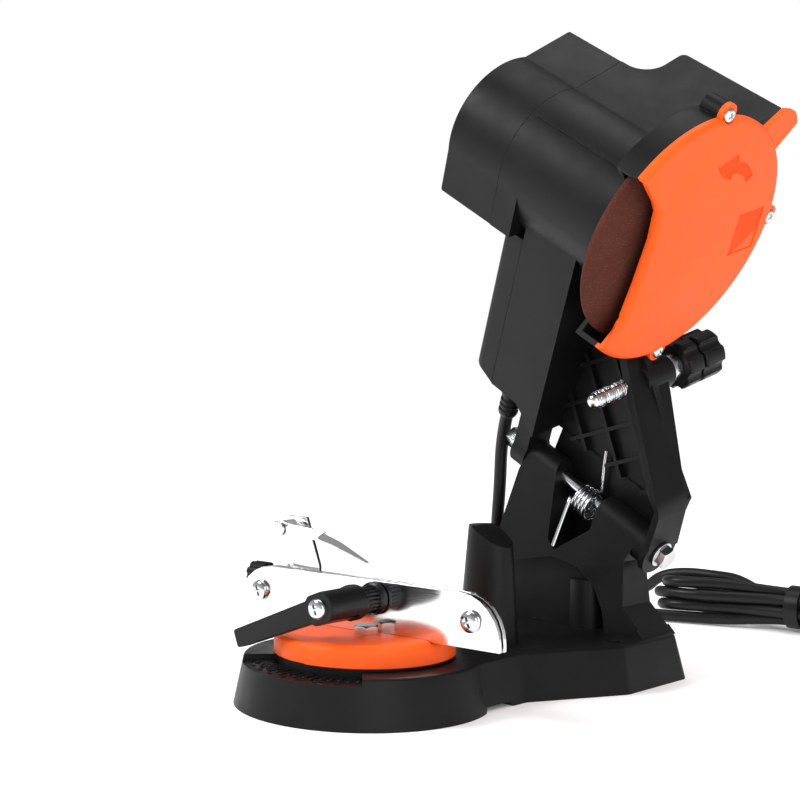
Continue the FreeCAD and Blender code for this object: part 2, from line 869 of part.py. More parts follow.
def make_side_wall(body):
    """The wall on the right, which carries the pivot and leans over to meet the guard."""
    wall = D["arm_wall"]
    lean = D["arm_wall"] * 1.54
    top = D["wall_top_z"] + 16
    band = [(D["right_wall_in"], 0), (D["right_wall_out"], 0), (D["right_wall_out"], D["knee"]),
            (wall_line(top), top), (wall_line(top, lean), top), (D["right_wall_in"], D["knee"] - 1)]
    pad(body, "XZ", D["arm_front"], 36, band)
    outer = vector(D["right_wall_out"], 0, D["knee"])
    along = Vector(0, 1, 0)
    fillet(body, lambda edge: runs_along(edge, along) and edge_distance(edge, outer, along) < 0.1, D["knee_round"])
    left = wall_line(top, lean) - 1
    front = [(D["arm_front"] - 1, D["knee"] + 1), (D["arm_front"] + 7.5, D["knee"] + 20),
             (D["arm_front"] + 12, D["knee"] + 31), (D["arm_front"] + 17.5, D["knee"] + 42),
             (D["arm_front"] + 30, top + 1), (D["arm_front"] - 1, top + 1)]
    cut(body, "YZ", left, D["right_wall_out"] + 1, front)
    rear = [(37, -1), (13, -1), (9.5, D["knee"] + 2), (D["stop_boss_back"] - 6.5, D["knee"] + 32),
            (D["stop_boss_back"] - 3, D["knee"] + 39), (D["stop_boss_back"] - 3, top + 1), (37, top + 1)]
    cut(body, "YZ", left, D["right_wall_out"] + 1, rear)
    boss = D["boss_radius"] + 2
    primitive("AdditiveCylinder", body, at(WORLD, D["right_wall_in"], 0, 0, ALONG_X),
              Radius=boss, Height=wall)


def panel_corners():
    """The panel between the box and the side wall, in its own leaning plane."""
    lean = D["arm_wall"] * 1.54
    return [(D["box_right"] - 2, 16), (D["right_wall_in"] + 1, 16), (D["right_wall_in"] + 1, D["knee"] - 1),
            (wall_line(D["wall_top_z"] + 14, lean / 2), D["wall_top_z"] + 14),
            (wall_line(D["wall_top_z"] + 14, lean / 2), D["wall_top_z"] + 36),
            (D["box_right"] - 2, D["wall_top_z"] + 36)]


def crossings(outline, x, z, slope):
    """Where a line through (x, z) with a slope enters and leaves a convex outline."""
    hits = []
    flat = [(number(px), number(pz)) for px, pz in outline]
    for (x1, z1), (x2, z2) in zip(flat, flat[1:] + flat[:1]):
        side1 = z1 - z - slope * (x1 - x)
        side2 = z2 - z - slope * (x2 - x)
        if side1 * side2 < 0:
            share = side1 / (side1 - side2)
            hits.append((x1 + share * (x2 - x1), z1 + share * (z2 - z1)))
    return sorted(hits)


def rib_outlines(slope):
    """One family of parallel ribs, each clipped to the panel."""
    step = D["rib_pitch"] * 1.42
    half = number(D["rib_width"]) / 2
    across = Vector(-slope, 1, 0).normalize() * half
    ribs = []
    for i in range(-8, 9):
        spot = -29 + i * number(step)
        hits = crossings(panel_corners(), spot, 33, slope)
        if len(hits) < 2 or hits[-1][0] - hits[0][0] < 5:
            continue
        (x1, z1), (x2, z2) = hits[0], hits[-1]
        ribs.append([(x1 + across.x, z1 + across.y), (x1 - across.x, z1 - across.y),
                     (x2 - across.x, z2 - across.y), (x2 + across.x, z2 + across.y)])
    return ribs


def make_panel(body):
    turn = Rotation(Vector(1, 0, 0), -number(D["panel_tilt"]))
    face = 5 + D["rib_height"]
    pad(body, "XZ", face, face + D["panel_thickness"], panel_corners(), turn=turn)
    for slope in (1, -1):
        pad(body, "XZ", 5, face + 0.5, *rib_outlines(slope), turn=turn)


def ear_places():
    """The guard's three screw ears, at angles measured from the arm's rear towards its top."""
    ring_radius = D["ear_circle"]
    return [(ring_radius * cosine(angle), ring_radius * sine(angle)) for angle in (85, -2.9, -85.5)]


def make_housing():
    body = body_of("head_housing", ARM)
    arm_box(body, D["box_seam"], D["box_right"])
    make_side_wall(body)
    make_panel(body)
    for start, end in ((D["right_wall_in"] - 5.5, D["right_wall_in"]),
                       (D["left_boss_out"], D["ear_left_out"] - D["side_play"])):
        primitive("AdditiveCylinder", body, at(WORLD, start, 0, 0, ALONG_X),
                  Radius=D["boss_radius"], Height=end - start)
    tail = [(-8, 0), (8, 0), (8, D["box_bottom"]), (-8, D["box_bottom"])]
    pad(body, "YZ", D["left_boss_out"], D["ear_left_out"] - D["side_play"], tail)
    stop = (D["stop_place"], D["stop_up"], D["stop_radius"] * 2)
    pad(body, "XZ", 15, D["stop_boss_back"], stop)

    low = 0
    corners = [(D["barrel_seam"], low), (D["box_end"], low), (D["box_end"], D["box_long"]),
               (D["box_step"], D["box_long"]), (D["box_step"], D["box_short"]), (D["barrel_seam"], D["box_short"])]
    barrel_section(body, D["barrel_seam"], D["barrel_end"], D["barrel_seam"], D["foot_end"], corners)
    box_vertical(body, D["box_step"], D["box_short"], 12)
    box_vertical(body, D["box_step"], D["box_long"], 3)

    # the raised rib along the barrel
    rib = at(WORLD, D["barrel_seam"], D["wheel_back"], D["wheel_up"], Rotation(Vector(1, 0, 0), 127))
    primitive("AdditiveBox", body, rib * Placement(vector(1, D["barrel_radius"] - 1, -0.8), Rotation()),
              Length=D["barrel_end"] - D["barrel_seam"] - 7, Width=1.8, Height=1.6)

    # hollows: the arm's wiring space, the handle box, the motor bore and the front bearing's seat
    arm_cavity(body, D["box_seam"], D["box_right"] - D["arm_wall"], D["wheel_up"] - 30)
    wall = D["barrel_wall"]
    motor_end = D["barrel_end"] - 9.5
    room = [(D["barrel_seam"], 0), (motor_end, 0), (motor_end, D["box_long"] - wall),
            (D["box_step"] + wall + 4, D["box_long"] - wall), (D["box_step"] + wall + 4, D["box_short"] - wall),
            (D["barrel_seam"], D["box_short"] - wall)]
    cut(body, "XY", D["flat_height"] - D["box_depth"] + wall, D["flat_height"] - wall, room,
        origin=wheel_origin("XY"), turn=BOX_LIFT)
    at_wheel = wheel_origin("YZ")
    cut(body, "YZ", D["barrel_seam"], motor_end, (0, 0, D["barrel_radius"] - wall), origin=at_wheel)
    seat = D["barrel_end"] - D["bearing_width"]
    cut(body, "YZ", seat, D["barrel_end"] + 1, (0, 0, D["bearing_radius"] + D["shaft_gap"]), origin=at_wheel)
    cut(body, "YZ", motor_end - 1, seat + 1, (0, 0, D["bearing_radius"] - 3), origin=at_wheel)

    # room for the guard, and the holes for the pivot bolt and the depth screw
    clear = D["right_wall_in"] - 30
    cut(body, "YZ", D["barrel_end"], clear, (0, 0, D["guard_radius"] + D["seat_gap"]), origin=at_wheel)
    low_ear = ear_places()[2]
    cut(body, "YZ", D["guard_joint"] - 10 - D["seat_gap"], clear, (*low_ear, D["ear_size"] + D["seat_gap"]),
        origin=at_wheel)
    bolt = D["bolt_radius"] + D["shaft_gap"]
    cut(body, "YZ", D["left_boss_out"] - 1, D["right_wall_out"] + 1, (0, 0, bolt))
    cut(body, "XZ", D["arm_front"] - 1, D["stop_boss_back"] + 1,
        (D["stop_place"], D["stop_up"], D["stop_radius"] + D["shaft_gap"]))
    # the cord's grommet hole and the switch's opening
    low = D["box_bottom"] - 8
    primitive("SubtractiveCylinder", body, at(WORLD, D["relief_place"], D["relief_depth"], low),
              Radius=D["cord_radius"] + 0.4, Height=20)
    half_long = (D["switch_long"] + D["seat_gap"]) / 2
    half_wide = (D["switch_wide"] + D["seat_gap"]) / 2
    hole = box_points(D["switch_place"] - half_long, D["switch_height"] - half_wide,
                      D["switch_place"] + half_long, D["switch_height"] + half_wide)
    cut(body, "XZ", D["box_long"] - wall - 2, D["box_long"] + 1, hole, origin=(0, D["wheel_up"], -D["wheel_back"]),
        turn=BOX_LIFT)
    return keep("head_housing", body)


def make_end_cap():
    """The barrel's rear cap, which holds the rear bearing in a cross-walled seat."""
    body = body_of("motor_end_cap", ARM)
    corners = [(D["cap_end"], 0), (D["barrel_seam"], 0), (D["barrel_seam"], D["box_short"]),
               (D["cap_end"], D["box_short"])]
    barrel_section(body, D["cap_end"], D["barrel_seam"], D["cap_end"], D["barrel_seam"], corners)
    outer = lambda edge: abs(edge.BoundBox.XMin - number(D["cap_end"])) < 0.01 and edge.BoundBox.XLength < 0.01
    chamfer(body, outer, 1.2)
    wall = D["barrel_wall"]
    at_wheel = wheel_origin("YZ")
    depth = D["cap_end"] + wall * 2
    cut(body, "YZ", depth, D["barrel_seam"], (0, 0, D["barrel_radius"] - wall), origin=at_wheel)
    inner = [(wall * 2, D["flat_height"] - D["box_depth"] + wall), (D["box_short"] - wall, D["flat_height"] - D["box_depth"] + wall),
             (D["box_short"] - wall, D["flat_height"] - wall), (wall * 2, D["flat_height"] - wall)]
    cut(body, "YZ", depth, D["barrel_seam"], inner, origin=at_wheel, turn=BOX_TURN)
    seat_end = D["cap_end"] + wall + D["bearing_width"] + 1
    pad(body, "YZ", depth - 1, seat_end, (0, 0, D["bearing_radius"] + wall), origin=at_wheel)
    cut(body, "YZ", D["cap_end"] + wall, seat_end, (0, 0, D["bearing_radius"] + D["shaft_gap"]), origin=at_wheel)
    return keep("motor_end_cap", body)


def make_side_cover():
    """The cover that closes the arm's box on the left, with softly rounded outer edges."""
    body = body_of("arm_side_cover", ARM)
    arm_box(body, D["box_left"], D["box_seam"])
    gap = D["seat_gap"]
    at_wheel = wheel_origin("YZ")
    cut(body, "YZ", D["box_left"] - 1, D["box_seam"] + 1, (0, 0, D["barrel_radius"] + gap), origin=at_wheel)
    foot = box_points(-D["barrel_radius"] - 1, -D["foot_drop"] - gap, 0, 1)
    cut(body, "YZ", D["box_left"] - 1, D["box_seam"] + 1, foot, origin=at_wheel)
    outer = lambda edge: abs(edge.BoundBox.XMin - number(D["box_left"])) < 0.01 and edge.BoundBox.XLength < 0.01
    fillet(body, lambda edge: outer(edge) and edge.BoundBox.ZLength > 40, 6)
    arm_cavity(body, D["box_left"] + D["arm_wall"], D["box_seam"], D["wheel_up"] - 42)
    return keep("arm_side_cover", body)


make_housing()
make_end_cap()
make_side_cover()


# ---------------------------------------------------------------- motor
def on_axis(start):
    return at(WHEEL, start, 0, 0, ALONG_X)


def lathe(label, outline):
    """A piece turned about the motor's axis, its outline given as (radius, place along the axis)."""
    return keep(label, turned(label, on_axis(0), outline))


def make_motor():
    gap = D["shaft_gap"]
    shaft = D["shaft_radius"]
    start = D["stator_start"]
    end = start + D["stator_length"]
    lathe("motor_stator", ring(D["barrel_radius"] - D["barrel_wall"] - gap, D["stator_bore"], start, end))
    tail = D["cap_end"] + D["barrel_wall"] + 1
    tip = D["wheel_place"] + D["wheel_thickness"] / 2 - 1
    lathe("motor_armature", [(0, tail), (shaft, tail), (shaft, start - 20), (D["commutator_radius"], start - 20),
                             (D["commutator_radius"], start - 7), (D["rotor_radius"] - 4, start - 5),
                             (D["rotor_radius"] - 4, start), (D["rotor_radius"], start + 1),
                             (D["rotor_radius"], end - 1), (D["rotor_radius"] - 4, end),
                             (D["rotor_radius"] - 4, end + 3), (shaft, end + 3), (shaft, tip),
                             (D["shaft_radius"] / 2, tip), (D["shaft_radius"] / 2, tip - 14), (0, tip - 14)])
    fan_start = end + 5
    fan = turned("cooling_fan", on_axis(0), [(shaft + gap, fan_start), (D["fan_radius"], fan_start),
                                             (D["fan_radius"], fan_start + 1.5), (shaft * 2, fan_start + 1.5),
                                             (shaft * 2, fan_start + 6), (shaft + gap, fan_start + 6)])
    blade = pad(fan, "XY", fan_start + 1, fan_start + 6, box_points(shaft * 2 - 0.5, -0.7, D["fan_radius"] - 1, 0.7))
    repeat_round(fan, blade, 10)
    keep("cooling_fan", fan)
    seat = D["barrel_end"] - D["bearing_width"]
    bearing = ring(D["bearing_radius"], shaft + gap, 0, D["bearing_width"])
    keep("front_bearing", turned("front_bearing", on_axis(seat), bearing))
    rear = D["cap_end"] + D["barrel_wall"] + 1
    keep("rear_bearing", turned("rear_bearing", on_axis(rear), bearing))
    brushes = []
    for i, side in enumerate((1, -1)):
        brush = body_of(f"brush_{i + 1}", WHEEL * Placement(Vector(), Rotation(Vector(1, 0, 0), side * 90)))
        near = D["commutator_radius"] + D["seat_gap"]
        pad(brush, "XY", near, D["barrel_radius"] - D["barrel_wall"] - D["seat_gap"] * 2,
            box_points(start - 17, -4, start - 9, 4))
        brushes.append(brush)
    group("brush_holders", brushes)


def repeat_round(body, item, count):
    pattern = body.newObject("PartDesign::PolarPattern", f"{body.Name}_pattern")
    pattern.Originals = [item]
    for axis in body.Origin.OriginFeatures:
        if axis.Role == "Z_Axis":
            pattern.Axis = (axis, [""])
    pattern.Angle = 360
    pattern.Occurrences = count
    doc.recompute()
    body.Tip = pattern
    return pattern


# ---------------------------------------------------------------- grinding wheel and guard
def make_wheel():
    place = D["wheel_place"]
    half = D["wheel_thickness"] / 2
    gap = D["shaft_gap"]
    shaft = D["shaft_radius"] + gap
    bore = D["wheel_bore"] / 2
    disc = turned("grinding_wheel", on_axis(place), ring(D["wheel_radius"], bore, -half, half))
    fillet(disc, lambda edge: edge.Length > number(D["wheel_radius"]) * 6, D["wheel_thickness"] * 0.4)
    keep("grinding_wheel", disc)
    inner = -half - D["flange_thickness"]
    keep("inner_flange", turned("inner_flange", on_axis(place), [
        (shaft, inner), (D["flange_radius"], inner), (D["flange_radius"], -half), (bore - gap, -half),
        (bore - gap, half - 0.4), (shaft, half - 0.4)]))
    hole = D["shaft_radius"] / 2
    outer = half + D["clamp_thickness"]
    keep("outer_flange", turned("outer_flange", on_axis(place), ring(D["flange_radius"], hole + gap, half, outer)))
    screw = turned("wheel_screw", on_axis(place), [(0, outer + 2), (hole + 2.4, outer + 2), (hole + 3, outer + 1.2),
                                                   (hole + 3, outer), (hole - gap, outer), (hole - gap, half - 12),
                                                   (0, half - 12)])
    cut(screw, "XY", outer + 0.9, outer + 2, hexagon(3))
    keep("wheel_screw", screw)


def mouth(extra):
    """The guard's open side, where the wheel stands out; its edge may be moved outwards."""
    deep = D["mouth_depth"] + extra
    edge = [(-deep - 22, 47), (-deep - 1.2, 22), (-deep, 8), (-deep - 2.2, -13.7), (-deep - 5, -31),
            (-deep - 23, -50)]
    return edge + [(-D["guard_radius"] * 1.4, -50), (-D["guard_radius"] * 1.4, 47)]


def make_inner_guard():
    body = body_of("inner_guard", WHEEL)
    joint = D["guard_joint"]
    start = D["barrel_end"]
    floor = start + D["guard_wall"]
    pad(body, "YZ", start, joint, (0, 0, D["guard_radius"]))
    ears = ear_places()
    pad(body, "YZ", joint - 10, joint, *[(y, z, D["ear_size"]) for y, z in ears])
    cut(body, "YZ", floor, joint, (0, 0, D["guard_radius"] - D["guard_wall"]))
    cut(body, "YZ", start, joint, mouth(1))
    cut(body, "YZ", start, joint, (0, 0, D["flange_radius"] + 1))
    cut(body, "YZ", joint - 8, joint, *[(y, z, D["guard_screw"] + D["shaft_gap"]) for y, z in ears])
    return keep("inner_guard", body)


def make_guard_cover():
    body = body_of("guard_cover", WHEEL)
    joint = D["guard_joint"]
    face = D["cover_face"]
    ears = ear_places()
    pad(body, "YZ", joint, face, (0, 0, D["guard_radius"]))
    fillet(body, lambda edge: middle(edge).x > number(face) - 0.1 and edge.Length > 300, 2.5)
    tab = [(33.3, 45.7), (47.8, 54.5), (54.5, 52.8), (57, 50), (59, 45.9), (48.1, 35.1), (30, 30)]
    pad(body, "YZ", joint, face - 1, tab)
    cut(body, "YZ", joint, face, mouth(0))
    deep = number(face - joint)
    bends = lambda edge: runs_along(edge, Vector(1, 0, 0)) and edge.Length > deep - 0.1 and abs(middle(edge).z) < 35
    fillet(body, bends, 9)
    wall = D["cover_wall"]
    ceiling = face - wall
    cut(body, "YZ", joint, ceiling, (0, 0, D["guard_radius"] - wall))
    edge = mouth(0)[:6]
    inner = mouth(-number(wall))[:6]
    pad(body, "YZ", joint, ceiling + 0.3, list(reversed(edge[1:5])) + inner[1:5])
    pad(body, "YZ", joint, face - 2, *[(y, z, D["ear_size"]) for y, z in ears])
    cut(body, "YZ", face - 2, face, *[(y, z, D["guard_head"] + D["seat_gap"]) for y, z in ears])
    cut(body, "YZ", joint, face - 1, *[(y, z, D["guard_screw"] + D["shaft_gap"]) for y, z in ears])
    badge = box_points(34.5, -16.5, 52.5, 5.5)
    cut(body, "YZ", face - 0.5, face, badge)
    return keep("guard_cover", body)


def make_guard_screws():
    joint = D["guard_joint"]
    face = D["cover_face"] - 2
    screws = []
    for i, (y, z) in enumerate(ear_places()):
        frame = at(WHEEL, 0, y, z, ALONG_X)
        screws.append(pan_screw(f"guard_screw_{i + 1}", frame, D["guard_screw"], joint - 7.5, face,
                                D["guard_head"], 1.9))
    group("guard_screws", screws)


def pan_screw(label, frame, radius, tip, seat, head, height):
    """A cross-recessed pan-head screw along its frame's Z axis, with the head beyond the seat."""
    body = turned(label, frame, [(0, tip), (radius, tip), (radius, seat), (head, seat),
                                 (head, seat + height * 0.45), (head * 0.62, seat + height), (0, seat + height)])
    arm = head * 0.55
    slot = head * 0.13
    for first, second in ((arm, slot), (slot, arm)):
        cut(body, "XY", seat + height * 0.35, seat + height, box_points(-first, -second, first, second))
    return body


make_motor()
make_wheel()
make_inner_guard()
make_guard_cover()
make_guard_screws()


# ---------------------------------------------------------------- depth stop screw and its knobs
def make_depth_stop():
    gap = D["shaft_gap"]
    frame = at(ARM, D["stop_place"], 0, D["stop_up"], ALONG_Y)
    radius = D["stop_radius"]
    knob_end = D["knob_start"] + D["knob_length"]
    rod_piece = turned("depth_screw", frame, [
        (0, D["stop_tip"]), (radius - 1.5, D["stop_tip"]), (radius, D["stop_tip"] + 1.5), (radius, knob_end + 2),
        (radius - 1, knob_end + 3), (0, knob_end + 3)])
    keep("depth_screw", rod_piece)
    keep("depth_insert", turned("depth_insert", frame, ring(
        D["stop_radius"] + 3, radius + gap, D["stop_boss_back"], D["lock_start"] - 0.3)))
    for label, start, length in (("depth_lock_knob", D["lock_start"], D["lock_length"]),
                                 ("depth_knob", D["knob_start"], D["knob_length"])):
        knob = turned(label, frame, ring(D["knob_radius"], radius + gap, start, start + length))
        fillet(knob, lambda edge: edge.Length > number(D["knob_radius"]) * 6, 1.5)
        reach = D["knob_radius"] + 1.6
        notch = cut(knob, "XY", start - 0.1, start + length + 0.1, (reach, 0, 3.6))
        repeat_round(knob, notch, int(number(D["knob_lobes"])))
        keep(label, knob)


make_depth_stop()


# ---------------------------------------------------------------- turntable
def make_turntable():
    body = body_of("turntable", TABLE)
    radius = D["table_radius"]
    low = D["table_bottom"]
    high = D["table_top"]
    wall = D["table_wall"]
    spin("Revolution", body, [(0, low), (D["stub_radius"] + 3, low), (D["stub_radius"] + 3, high - wall),
                              (radius - wall - 2, high - wall), (radius - wall, low), (radius, low),
                              (radius - 0.5, high), (0, high)])
    rim = lambda edge: edge.Length > number(radius) * 6 and middle(edge).z > number(high) - 0.1
    fillet(body, rim, D["table_round"])
    primitive("AdditiveCylinder", body, at(WORLD, 0, 0, 6.7), Radius=D["stub_radius"], Height=low - 6)
    cut(body, "XY", 6.7, 16, (0, 0, 2))
    # the left half of the front is a step lower, and the step's edge is the pointer on the scale
    step = Rotation(Vector(0, 0, 1), 180)
    primitive("SubtractiveCylinder", body, Placement(vector(0, 0, high - D["pointer_step"]), step),
              Radius=radius + 1, Height=5, Angle=90)
    # slot for the plates, and the opening for the rear plate's foot
    half = D["plate_thickness"] + D["chain_slot"] / 2 + D["seat_gap"]
    cut(body, "XY", D["plate_bottom"] - D["seat_gap"], high + 1, box_points(-radius - 1, -half, radius + 1, half))
    cut(body, "XY", high - wall - 1, high + 1, box_points(-12.5, 0.5, 26.5, half))
    cut(body, "XY", low, high - wall, box_points(-12.5, -15.5, 26.5, half))
    cut(body, "XY", high - wall - 1, high + 1, (D["vise_bolt_x"], -D["vise_bolt_y"], D["vise_bolt_radius"] + D["shaft_gap"]))
    primitive("AdditiveCylinder", body, at(WORLD, 0, 0, 6.7 + 10), Radius=D["stub_radius"],
              Height=high - wall - 16.7 - D["seat_gap"])
    return keep("turntable", body)


def make_turntable_screw():
    washer = turned("turntable_washer", TABLE, ring(9, 2.1, 5.2, 6.7))
    keep("turntable_washer", washer)
    frame = at(TABLE, 0, 0, 0, Rotation(Vector(1, 0, 0), 180))
    keep("turntable_screw", pan_screw("turntable_screw", frame, 1.95, -15.5, -5.2, 4.2, 2.4))


# ---------------------------------------------------------------- bar guide vise
def plate_outline():
    half = D["plate_half"]
    low = D["plate_bottom"]
    high = D["plate_top"]
    corner = D["plate_corner"]
    points = [(-half, low), (half, low)]
    for side in (1, -1):
        angles = range(0, 91, 15) if side == 1 else range(90, -1, -15)
        for angle in angles:
            points.append((side * (half - corner + corner * cosine(angle)), high - corner + corner * sine(angle)))
    return points


def guide_holes():
    hole = D["guide_screw_radius"] + D["shaft_gap"]
    holes = [(side * D["guide_screw_x"], D["guide_screw_z"], hole) for side in (-1, 1)]
    return holes + [(D["clamp_x"], D["clamp_z"], D["stud_radius"] + D["shaft_gap"])]


def make_plates():
    gap = D["chain_slot"] / 2
    thick = D["plate_thickness"]
    front = body_of("guide_plate_front", TABLE)
    pad(front, "XZ", -gap - thick, -gap, plate_outline(), *guide_holes())
    keep("guide_plate_front", front)
    rear = body_of("guide_plate_rear", TABLE)
    pad(rear, "XZ", gap, gap + thick, plate_outline(), *guide_holes())
    under = D["table_top"] - D["table_wall"]
    floor = under - D["foot_thickness"]
    pad(rear, "XZ", gap, gap + thick, box_points(-12, floor, 26, D["plate_bottom"] + 1))
    bolt = (D["vise_bolt_x"], -D["vise_bolt_y"], D["vise_bolt_radius"] + D["shaft_gap"])
    pad(rear, "XY", floor, under, box_points(-12, -15, 26, gap + 1), bolt)
    cut(rear, "XY", floor - 1, under, (0, 0, D["stub_radius"] + D["seat_gap"]))
    lug = box_points(-65, gap + 1, -63, 17)
    pad(rear, "XY", D["guide_screw_z"] - 2, D["plate_top"] - 3, lug)
    cut(rear, "YZ", -66, -62, (11, 47, 2.45))
    cut(rear, "XZ", gap, gap + thick, (-D["stop_slot_x"], 50, 1.9))
    keep("guide_plate_rear", rear)


def make_guide_fasteners():
    gap = D["chain_slot"] / 2
    thick = D["plate_thickness"]
    behind = gap + thick
    screws = []
    nuts = []
    radius = D["guide_screw_radius"]
    for i, side in enumerate((-1, 1)):
        frame = at(TABLE, side * D["guide_screw_x"], 0, D["guide_screw_z"], Rotation(Vector(1, 0, 0), 90))
        seat = behind + D["seat_gap"]
        screws.append(pan_screw(f"guide_screw_{i + 1}", frame, radius, -behind - 4, seat, 4.7, 2.6))
        nut = body_of(f"guide_nut_{i + 1}", frame)
        pad(nut, "XY", -behind - 3, -behind, hexagon(8, 30), (0, 0, radius + D["shaft_gap"]))
        nuts.append(nut)
    group("guide_screws", screws)
    group("guide_nuts", nuts)


def make_vise_bolt():
    radius = D["vise_bolt_radius"]
    top = D["table_top"]
    place = at(TABLE, D["vise_bolt_x"], -D["vise_bolt_y"], 0)
    bolt = body_of("vise_bolt", place)
    pad(bolt, "XY", top, top + 4, hexagon(10, 10))
    chamfer(bolt, lambda edge: middle(edge).z > number(top) + 3.9, 0.5)
    floor = top - D["table_wall"] - D["foot_thickness"]
    primitive("AdditiveCylinder", bolt, at(WORLD, 0, 0, floor - 4), Radius=radius, Height=top - floor + 4)
    keep("vise_bolt", bolt)
    nut = body_of("vise_nut", place)
    pad(nut, "XY", floor - 4, floor, hexagon(10, 10), (0, 0, radius + D["shaft_gap"]))
    keep("vise_nut", nut)


make_turntable()
make_turntable_screw()
make_plates()
make_guide_fasteners()
make_vise_bolt()


# ---------------------------------------------------------------- clamping lever
CLAMP = at(TABLE, D["clamp_x"], 0, D["clamp_z"], Rotation(Vector(1, 0, 0), 90))


def make_clamp():
    """The stud through the plates, its nut, the splined collar and the lever; Z points forwards here."""
    behind = D["chain_slot"] / 2 + D["plate_thickness"]
    gap = D["shaft_gap"]
    stud = D["stud_radius"]
    stud_end = D["collar_end"] + 16
    keep("lever_stud", turned("lever_stud", CLAMP, rod(stud, -behind - 7, stud_end)))
    nut = body_of("clamp_nut", CLAMP)
    pad(nut, "XY", -behind - 6, -behind, box_points(-6.5, -6.5, 6.5, 6.5), (0, 0, stud + gap))
    keep("clamp_nut", nut)
    start = behind + D["seat_gap"] * 2
    collar = turned("lever_collar", CLAMP, [
        (stud + gap, start), (D["collar_radius"] + 1.2, start), (D["collar_radius"] + 1.2, start + 2),
        (D["collar_radius"], start + 2.6), (D["collar_radius"], D["collar_end"]), (stud + gap, D["collar_end"])])
    groove = cut(collar, "XY", start + 3, D["collar_end"], (D["collar_radius"] + 0.35, 0, 0.75))
    repeat_round(collar, groove, 24)
    keep("lever_collar", collar)
    lever = body_of("clamp_lever", CLAMP)
    hub = D["hub_radius"]
    pad(lever, "XY", D["collar_end"], D["hub_end"], (0, 0, hub))
    chamfer(lever, lambda edge: edge.Length > number(hub) * 6 and middle(edge).z < number(D["collar_end"]) + 1, 1.5)
    facets = [box_points(-20, hub - 1.1, 20, 20), box_points(-20, -20, 20, 1.1 - hub)]
    turn = Rotation(Vector(0, 0, 1), 180 + number(D["lever_angle"]))
    cut(lever, "XY", D["collar_end"] + 6, D["hub_end"], *facets, turn=turn)
    root = D["lever_root"] / 2
    tip = D["lever_tip"] / 2
    reach = D["lever_reach"]
    outline = [(0, -root), (reach, -tip), (reach, tip), (0, root)]
    pad(lever, "XY", D["hub_end"] - D["lever_depth"], D["hub_end"], outline, turn=turn)
    end_edges = lambda edge: edge.Length > 5 and abs(far_along(edge, turn) - number(reach)) < 0.1
    chamfer(lever, end_edges, 0.8)
    cut(lever, "XY", D["collar_end"], stud_end + 1, (0, 0, stud + gap))
    cut(lever, "XY", stud_end, D["hub_end"], (0, 0, 2.05))
    keep("clamp_lever", lever)
    keep("lever_screw", pan_screw("lever_screw", CLAMP, 2, stud_end + 1.5, D["hub_end"], 4.4, 2.4))


def far_along(edge, turn):
    return middle(edge).dot(turn.multVec(Vector(1, 0, 0)))


make_clamp()


# ---------------------------------------------------------------- chain stop
def make_chain_stop():
    gap = D["seat_gap"]
    back = D["chain_slot"] / 2 + D["plate_thickness"] + gap
    thick = D["pawl_thickness"] + 0.4
    pin_x = -D["stop_pin_x"]
    pin_z = D["stop_pin_z"]
    pin = 2
    carriage = body_of("stop_carriage", TABLE)
    plate = [(pin_x - 5, 44), (pin_x + 14, 44), (pin_x + 14, 56), (pin_x + 6, pin_z + 5), (pin_x - 5, pin_z + 5)]
    pad(carriage, "XZ", back, back + thick, plate, (pin_x, pin_z, pin + D["shaft_gap"]))
    pad(carriage, "YZ", pin_x - 5, pin_x - 3, box_points(back + 1, 44, 17, 53))
    slot_x = -D["stop_slot_x"]
    slot = box_points(slot_x - 6.3, 48.1, slot_x + 6.3, 51.9)
    cut(carriage, "XZ", back, back + thick, slot)
    cut(carriage, "YZ", pin_x - 6, pin_x - 2, (11, 47, 2.45))
    keep("stop_carriage", carriage)
    frame = at(TABLE, slot_x, 0, 50, Rotation(Vector(1, 0, 0), -90))
    seat = back + thick + gap
    keep("stop_guide_screw", pan_screw("stop_guide_screw", frame, 1.85, back - 2.2, seat, 3.4, 1.8))
    frame = at(TABLE, 0, 11, 47, ALONG_X)
    knob = turned("stop_knob", frame, ring(6, 2.45, -75, -66))
    notch = cut(knob, "XY", -75.1, -65.9, (6.6, 0, 1.3))
    repeat_round(knob, notch, 8)
    keep("stop_knob", knob)
    keep("stop_screw", turned("stop_screw", frame, rod(2.4, -75, -36)))
    keep("stop_pin", turned("stop_pin", at(TABLE, pin_x, 0, pin_z, ALONG_Y), [
        (0, -9), (3, -9), (3, -8), (2, -8), (2, back + thick), (0, back + thick)]))

    # the pawl: a strip bent twice, its tip narrowed to sit behind a cutter
    pawl = body_of("stop_pawl", TABLE)
    half = D["pawl_thickness"] / 2
    spots = [(pin_x, pin_z + pin + 1.2), (-D["pawl_bend_x"], D["pawl_bend_z"]), (D["pawl_tip_x"], D["pawl_tip_z"])]
    upper = [(x, z + half) for x, z in spots]
    lower = [(x, z - half) for x, z in reversed(spots)]
    pad(pawl, "XZ", -7.5, D["pawl_width"] - 7.5, lower + upper)
    cheek = [(pin_x - 4.5, pin_z - 4), (pin_x + 5, pin_z - 4), (pin_x + 20, pin_z - 3),
             (pin_x + 26, pin_z + 1), (pin_x, pin_z + pin + 1.2), (pin_x - 4.5, pin_z + pin + 1.2)]
    pad(pawl, "XZ", -7.5, -6, cheek, (pin_x, pin_z, pin + D["shaft_gap"]))
    cut(pawl, "XY", 50, 80, [(-D["pawl_bend_x"] - 8, -8), (6, -8), (6, -3.2)],
        [(-D["pawl_bend_x"] - 8, 2), (6, -1.5), (6, 3)])
    keep("stop_pawl", pawl)


make_chain_stop()


# ---------------------------------------------------------------- switch
SWITCH = at(BOX, D["switch_place"], D["box_long"], D["switch_height"], ALONG_Y)


